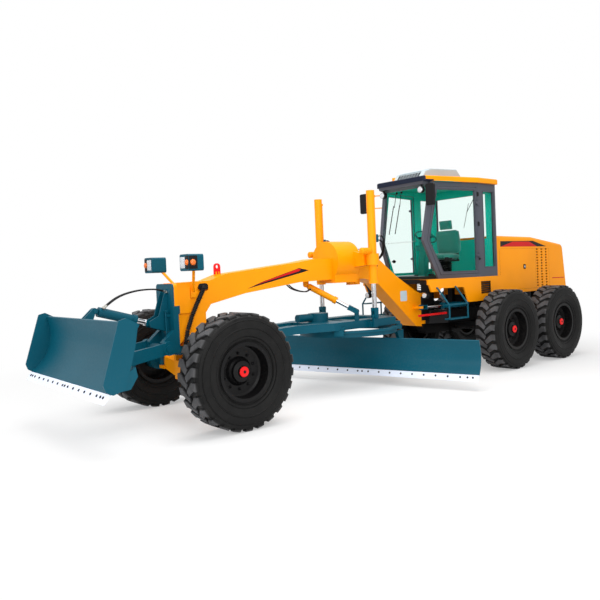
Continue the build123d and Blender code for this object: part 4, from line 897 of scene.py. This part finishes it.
add_rod(wipers, (-2.374, 0.17, 2.92), (-2.374, 0.05, 2.48), 0.0045)
new_piece("wipers", wipers, (black,), "rear")


# Lamps: ribbed clear lenses in chromed bezels on the roof, deck and head lamps, orange turn lamps
# outboard of the head lamps, red lamps on the tail and an amber beacon.
def plastic_lens(name, colour, roughness, transmission):
    material = finished(name, colour, roughness, peel=0.0)
    shader = material.node_tree.nodes["Principled BSDF"]
    set_inputs(shader, {"Transmission Weight": transmission, "Coat Weight": 0.6})
    return material


clear_lens = plastic_lens("clear_lens", (0.78, 0.82, 0.86), 0.12, 0.25)
orange_lens = plastic_lens("orange_lens", (1.0, 0.20, 0.01), 0.2, 0.2)
red_lens = plastic_lens("red_lens", (0.75, 0.01, 0.01), 0.2, 0.2)


def add_lamp_face(mesh, place, direction, radius):
    # A bezel ring round a domed lens: slot 0 is the bezel, slot 1 the lens
    bore = radius * 0.86
    bezel = ((bore, 0), (radius, 0), (radius, 0.008), (bore, 0.010), (bore, 0))
    lens = ((0, 0), (radius * 0.87, 0), (radius * 0.84, 0.005), (radius * 0.5, 0.011), (0, 0.013))
    add_turned(mesh, bezel, place, direction, 32, 0)
    add_turned(mesh, lens, place, direction, 32, 1)


lamp_faces = bmesh.new()
for side in (1, -1):
    add_lamp_face(lamp_faces, (-0.7352, side * 0.430, 3.055), (1, 0, 0), 0.050)
    add_lamp_face(lamp_faces, (-0.4902, side * 0.650, 1.330), (1, 0, 0), 0.046)
new_piece("work_lamp_faces", lamp_faces, (chrome, clear_lens), "rear")


def add_box(mesh, low, high, bevel, slot=0):
    part = bmesh.new()
    bmesh.ops.create_cube(part, size=1)
    bmesh.ops.scale(part, vec=Vector(high) - Vector(low), verts=part.verts)
    bmesh.ops.bevel(
        part,
        geom=list(part.edges),
        offset=bevel,
        segments=2,
        profile=0.5,
        affect="EDGES",
    )
    place_into(mesh, part, Matrix.Translation((Vector(low) + Vector(high)) / 2), slot)


def mirrored(side, low, high):
    # The corners of a box given for the left side, or of its mirror image on the right
    low_y, high_y = sorted((side * low[1], side * high[1]))
    return (low[0], low_y, low[2]), (high[0], high_y, high[2])


def add_side_box(mesh, side, low, high, bevel, slot=0):
    add_box(mesh, *mirrored(side, low, high), bevel, slot)


head_lenses = bmesh.new()
dome = ((0, 0), (0.036, 0), (0.036, 0.006), (0.030, 0.015), (0.016, 0.021), (0, 0.023))
for side in (1, -1):
    add_side_box(head_lenses, side, (3.6352, 0.396, 1.884), (3.6440, 0.506, 2.018), 0.004)
    for z in (1.908, 1.937, 1.966, 1.995):
        low, high = (3.6430, 0.404, z - 0.002), (3.6456, 0.498, z + 0.002)
        add_side_box(head_lenses, side, low, high, 0.0008)
    add_side_box(head_lenses, side, (3.6352, 0.514, 1.872), (3.6372, 0.592, 2.030), 0.0008, 2)
    add_side_box(head_lenses, side, (3.520, 0.5952, 1.872), (3.632, 0.5972, 2.030), 0.0008, 2)
    add_turned(head_lenses, dome, (3.6368, side * 0.553, 1.951), (1, 0, 0), 28, 1)
    add_turned(head_lenses, dome, (3.580, side * 0.5968, 1.951), (0, side, 0), 28, 1)
new_piece("head_lamp_lenses", head_lenses, (clear_lens, orange_lens, black), "front")
tail_lenses = bmesh.new()
for side in (1, -1):
    add_side_box(tail_lenses, side, (-4.9210, 0.388, 1.088), (-4.9132, 0.470, 1.172), 0.003)
    add_side_box(tail_lenses, side, (-4.9210, 0.476, 1.088), (-4.9132, 0.512, 1.172), 0.003, 1)
new_piece("tail_lamp_lenses", tail_lenses, (red_lens, orange_lens), "rear")
fittings_patches = (
    ((-1.37, -0.71, 3.313), (-1.23, -0.57, 3.44), (1.0, 0.36, 0.01)),
    ((-1.00, -0.762, 2.80), (-0.60, -0.49, 3.12), (1.0, 0.30, 0.0)),
)
fittings_paint = painted_by_place("mirror_and_lamp_paint", black_tone, fittings_patches)
dress(fittings_paint, "mirrors_and_lamps")


# Mirrors: silvered glass with rounded corners in the back of both black shells.
silvered, _, silvered_shader = new_material("silvered_glass")
set_inputs(
    silvered_shader, {"Base Color": (0.82, 0.85, 0.87, 1), "Metallic": 1.0, "Roughness": 0.03}
)
mirror_glass = bmesh.new()
for x, y in ((-0.760, 0.640), (-0.720, -0.850)):
    back = tail_plane(x - 0.0002, y)
    add_panel(mirror_glass, -0.075, 0.075, 2.792, 3.118, 0.022, back, 0.002)
new_piece("mirror_glass", mirror_glass, (silvered,), "rear")


# Hoses: black rubber hydraulic hoses with crimped steel ends, clamped at both ends. They feed the
# dozer's cylinder, the front lamps and axle, the centre-shift cylinder and the lift cylinders.
hose_rubber = finished("hose_rubber", (0.010, 0.010, 0.011), 0.5, dust=0.3)
crimp_steel = finished("crimp_steel", (0.45, 0.44, 0.40), 0.32, metallic=1.0)
hose_slots = (hose_rubber, crimp_steel)


def add_hose(mesh, points, radius):
    # A bent hose through its points with a crimped end on each
    curve = bpy.data.curves.new("hose", "CURVE")
    curve.dimensions = "3D"
    curve.bevel_depth = radius
    curve.bevel_resolution = 3
    curve.use_fill_caps = True
    spline = curve.splines.new("NURBS")
    spline.points.add(len(points) - 1)
    for point, place in zip(spline.points, points):
        point.co = (*place, 1)
    spline.order_u = 3
    spline.use_endpoint_u = True
    spline.resolution_u = 8
    holder = bpy.data.objects.new("hose", curve)
    data = bpy.data.meshes.new_from_object(holder)
    part = bmesh.new()
    part.from_mesh(data)
    bmesh.ops.remove_doubles(part, verts=part.verts, dist=merge_distance)
    place_into(mesh, part, Matrix.Identity(4), 0)
    bpy.data.objects.remove(holder)
    bpy.data.curves.remove(curve)
    bpy.data.meshes.remove(data)
    for end, after in ((points[0], points[1]), (points[-1], points[-2])):
        shape = ((0, 0), (1.6, 0), (1.6, 1.6), (1.2, 1.8), (1.2, 5), (1.02, 5.2), (0, 5.2))
        crimp = [(radius * out, radius * along) for out, along in shape]
        add_turned(mesh, crimp, end, Vector(after) - Vector(end), 12, 1)


dozer_hoses = bmesh.new()
for y in (0.045, 0.085):
    path = [(3.672, y, 1.600), (3.760, y, 1.640), (3.900, y, 1.650), (4.080, y, 1.640)]
    path += [(4.280, y, 1.590), (4.420, y, 1.500), (4.470, y * 0.8, 1.455)]
    add_hose(dozer_hoses, path, 0.010)
dozer_hose_piece = new_piece("dozer_hoses", dozer_hoses, hose_slots, None)
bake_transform(dozer_hose_piece)
loom = bmesh.new()
path = [(3.205, 0.152, 1.645), (3.235, 0.200, 1.610), (3.330, 0.225, 1.470)]
path += [(3.430, 0.245, 1.300), (3.500, 0.245, 1.120), (3.530, 0.235, 0.960), (3.530, 0.200, 0.870)]
rib_pitch = 0.020
ribbed_path = [Vector(point) for point in path]
for first, last in zip(ribbed_path, ribbed_path[1:]):
    steps = int((last - first).length / rib_pitch)
    ribs = []
    for number in range(steps):
        at = (last - first).length * number / steps
        ribs += [(0.023, at), (0.030, at + 0.005), (0.030, at + 0.012), (0.023, at + 0.016)]
    add_turned(loom, [(0, 0)] + ribs + [(0, ribs[-1][1])], first, last - first, 16)
beam_face = side_plane(1, beam_side + 0.0002)
add_panel(loom, 3.135, 3.275, 1.605, 1.690, 0.036, beam_face, 0.002)
add_panel(loom, 3.135, 3.275, 1.605, 1.690, 0.036, beam_face, 0.007, 0, 0.008)
new_piece("front_loom", loom, (hose_rubber,), "front")
shift_hoses = bmesh.new()
for y in (0.02, 0.07):
    end_y = y * 0.4 - 0.04
    path = [(1.800, y, 1.640), (1.740, y, 1.570), (1.620, y, 1.520), (1.460, y * 0.6, 1.490)]
    path += [(1.340, end_y, 1.500), (1.270, end_y, 1.545)]
    add_hose(shift_hoses, path, 0.009)
shift_hose_piece = new_piece("centre_shift_hoses", shift_hoses, hose_slots, None)
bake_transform(shift_hose_piece)
saddle_hoses = bmesh.new()
for side in (1, -1):
    for number in range(3):
        y = side * (0.175 + 0.030 * number)
        path = [(0.552, y, 2.060), (0.440, y, 2.120), (0.300, y, 2.080 - 0.03 * number)]
        path += [(0.180, y, 1.940), (0.110, y, 1.840), (0.090, side * 0.152, 1.790)]
        add_hose(saddle_hoses, path, 0.010)
new_piece("saddle_hoses", saddle_hoses, hose_slots, "front")


# Lift cylinder fittings: a ribbed trunnion cap in front of each barrel, a lock valve behind it with
# a steel pipe up the barrel, and two hoses from each valve down to the gooseneck.
cylinder_fittings = bmesh.new()
barrel_hoses = bmesh.new()
barrel_y = 0.600
cap_ribs = [(0, 0)]
for number in range(5):
    at = 0.036 * number
    cap_ribs += [(0.038, at), (0.050, at + 0.006), (0.050, at + 0.024), (0.038, at + 0.031)]
cap_ribs += [(0.030, 0.182), (0, 0.182)]
for side in (1, -1):
    pipe_y = side * barrel_y
    add_turned(cylinder_fittings, cap_ribs, (0.648, pipe_y, 2.055), (1, 0, 0), 32)
    low, high = (0.478, barrel_y - 0.030, 2.185), (0.533, barrel_y + 0.030, 2.300)
    add_side_box(cylinder_fittings, side, low, high, 0.006, 1)
    add_rod(cylinder_fittings, (0.512, pipe_y, 2.295), (0.512, pipe_y, 2.860), 0.009)
    low, high = (0.500, barrel_y - 0.018, 2.850), (0.535, barrel_y + 0.018, 2.885)
    add_side_box(cylinder_fittings, side, low, high, 0.005)
    for number in range(2):
        y = side * (0.585 + 0.030 * number)
        path = [(0.482, y, 2.210 + 0.060 * number), (0.380, y, 2.230 + 0.08 * number)]
        path += [(0.300, y - side * 0.03, 2.120), (0.270, y - side * 0.12, 1.980)]
        path += [(0.250, y - side * 0.30, 1.900), (0.200, side * 0.165, 1.800 - 0.03 * number)]
        add_hose(barrel_hoses, path, 0.011)
new_piece("lift_cylinder_fittings", cylinder_fittings, (yellow, teal), "lift_barrel")
barrel_hose_piece = new_piece("lift_cylinder_hoses", barrel_hoses, hose_slots, None)
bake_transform(barrel_hose_piece)


# Seat: a suspension base under a rubber bellows, a moulded cushion and back with crowned faces in
# woven cloth, side bolsters and two armrests.
def woven_cloth():
    material, tree, shader = new_material("woven_cloth")
    place = object_place(tree)
    weave = 1.0
    for direction in ("X", "Y"):
        threads = {"Scale": 130, "Distortion": 0.4}
        wave = add(tree, "ShaderNodeTexWave", threads, bands_direction=direction)
        tree.links.new(place, wave.inputs["Vector"])
        weave = product(tree, weave, wave.outputs["Fac"])
    cloud = noise(tree, place, 22, 3)
    shade = math_node(tree, "ADD", product(tree, weave, 0.5), product(tree, cloud, 0.5))
    colour = mix_colour(tree, shade, (0.0, 0.120, 0.095), (0.002, 0.300, 0.230))
    emboss(tree, weave, 0.0012, shader)
    roughness = spread(tree, cloud, 0.3, 0.7, 0.75, 0.92)
    tree.links.new(colour, shader.inputs["Base Color"])
    tree.links.new(roughness, shader.inputs["Roughness"])
    set_inputs(shader, {"Sheen Weight": 0.25})
    return material


def crowned_pad(name, low, high, crown, matrix=Matrix.Identity(4)):
    # A stuffed pad: a finely divided rounded block whose top face swells towards its middle
    part = bmesh.new()
    bmesh.ops.create_cube(part, size=1)
    bmesh.ops.subdivide_edges(part, edges=part.edges, cuts=11, use_grid_fill=True)
    size = Vector(high) - Vector(low)
    for corner in part.verts:
        flat = corner.co * 2
        round_x = 1 - abs(flat.x) ** 6
        round_y = 1 - abs(flat.y) ** 6
        swell = (1 - flat.x ** 2) * (1 - flat.y ** 2)
        corner.co.z *= 0.62 + 0.38 * min(1, (max(round_x, 0) * max(round_y, 0)) ** 0.35)
        corner.co.x *= 1 - 0.05 * abs(flat.z) ** 3
        corner.co.y *= 1 - 0.05 * abs(flat.z) ** 3
        corner.co.x *= size.x
        corner.co.y *= size.y
        corner.co.z = corner.co.z * size.z + crown * swell * (1 if flat.z > 0 else 0)
    bmesh.ops.smooth_vert(
        part, verts=part.verts, factor=0.5, use_axis_x=True, use_axis_y=True, use_axis_z=True
    )
    pad = bmesh.new()
    place_into(pad, part, matrix @ Matrix.Translation((Vector(low) + Vector(high)) / 2), 0)
    piece = new_piece(name, pad, (seat_cloth,), "rear")


seat_cloth = woven_cloth()
seat_base = bmesh.new()
add_box(seat_base, (-1.960, -0.200, 1.6105), (-1.560, 0.200, 1.660), 0.010)
bellows = [(0, 0)]
for number in range(5):
    bellows += [(0.185, 0.020 + 0.038 * number), (0.160, 0.038 + 0.038 * number)]
bellows += [(0.185, 0.210), (0, 0.210)]
add_turned(seat_base, bellows, (-1.760, 0, 1.660), (0, 0, 1), 36)
add_box(seat_base, (-1.990, -0.225, 1.868), (-1.520, 0.225, 1.905), 0.012)
add_box(seat_base, (-2.010, -0.175, 1.960), (-1.965, 0.175, 2.020), 0.010)
for side in (1, -1):
    add_rod(seat_base, (-1.955, side * 0.2, 1.890), (-2.000, side * 0.2, 2.110), 0.014)
seat_piece = new_piece("seat_base", seat_base, (black,), "rear")
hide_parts("seat")
crowned_pad("seat_cushion", (-1.975, -0.240, 1.905), (-1.505, 0.240, 2.005), 0.016)
lean = Matrix.Translation((-1.960, 0, 2.010)) @ Matrix.Rotation(math.radians(-83), 4, "Y")
crowned_pad("seat_back", (0.0, -0.225, -0.040), (0.420, 0.225, 0.050), 0.026, lean)
crowned_pad("headrest", (0.440, -0.130, -0.030), (0.600, 0.130, 0.045), 0.020, lean)
for side, label in sides:
    low, high = mirrored(side, (0.030, 0.165, -0.020), (0.400, 0.240, 0.074))
    crowned_pad("back_bolster_" + label, low, high, 0.008, lean)


# Console: the steering column, wheel and levers in moulded green plastic, with black knobs on the
# levers' ends and a horn button in the wheel's middle.
console_dark = finished("console_plastic", (0.0, 0.150, 0.120), 0.5, dust=0.05, bump=0.0009)
dress(console_dark, "console")
console_caps = bmesh.new()
knob = ((0, -0.012), (0.009, -0.011), (0.014, -0.002), (0.014, 0.006), (0.009, 0.014), (0, 0.016))
for y in (-0.130, -0.100, -0.070, 0.070, 0.100, 0.130):
    add_turned(console_caps, knob, (-1.320, y, 2.296), (-0.21, 0, 0.98), 16)
horn = ((0, 0), (0.038, 0), (0.036, 0.010), (0, 0.013))
add_turned(console_caps, horn, (-1.3425, 0, 2.3060), (-0.5, 0, 0.87), 24)
new_piece("console_caps", console_caps, (black,), "rear")


# Engine: a cast and painted block, grey with dust, that hardly shows under the hood.
engine_cast = finished("engine_cast", (0.035, 0.037, 0.040), 0.6, dust=0.6, bump=0.0012)
dress(engine_cast, "engine")


# Air conditioner: a pale moulded cover; the louvre openings across its sloping front are painted
# shade, black inside the slots and in black sheets over them.
pale_tone = (0.42, 0.50, 0.54)
slope_foot, slope_head = (-0.905, 3.275), (-1.005, 3.405)
slope_normal = (0.7926, 0.6097)


def slot_shade_colour(tree):
    # Painted shade: black inside the air conditioner's slots, which lie behind its sloping front,
    # else pale
    parts = place_parts(tree)
    out = 0.0
    for number, foot, lean in zip((0, 2), slope_foot, slope_normal):
        off = product(tree, math_node(tree, "SUBTRACT", parts[number], foot), lean)
        out = math_node(tree, "ADD", out, off)
    deep = math_node(tree, "LESS_THAN", out, -0.003)
    near = inside_box(tree, (-1.080, -0.2505, 3.280), (-0.900, 0.2505, 3.402))
    return mix_colour(tree, product(tree, deep, near), pale_tone, black_tone)


pale_plastic = finished("pale_plastic", pale_tone, 0.5, dust=0.02, base=slot_shade_colour)
dress(pale_plastic, "ac_unit")
# Black sheets over the slots' openings on the slope: painted shade for the dark slots
louvre_shade_sheets = bmesh.new()
slope = screen_plane(slope_foot, slope_head, clear)
for number in range(8):
    y = -0.2275 + 0.065 * number
    opening = ((y - 0.020, 0.022), (y + 0.012, 0.022), (y + 0.024, 0.128), (y - 0.008, 0.128))
    add_sheet(louvre_shade_sheets, opening, slope, 0.0015)
new_piece("air_conditioner_louvre_shade", louvre_shade_sheets, (shade_sheet_black,), "rear")
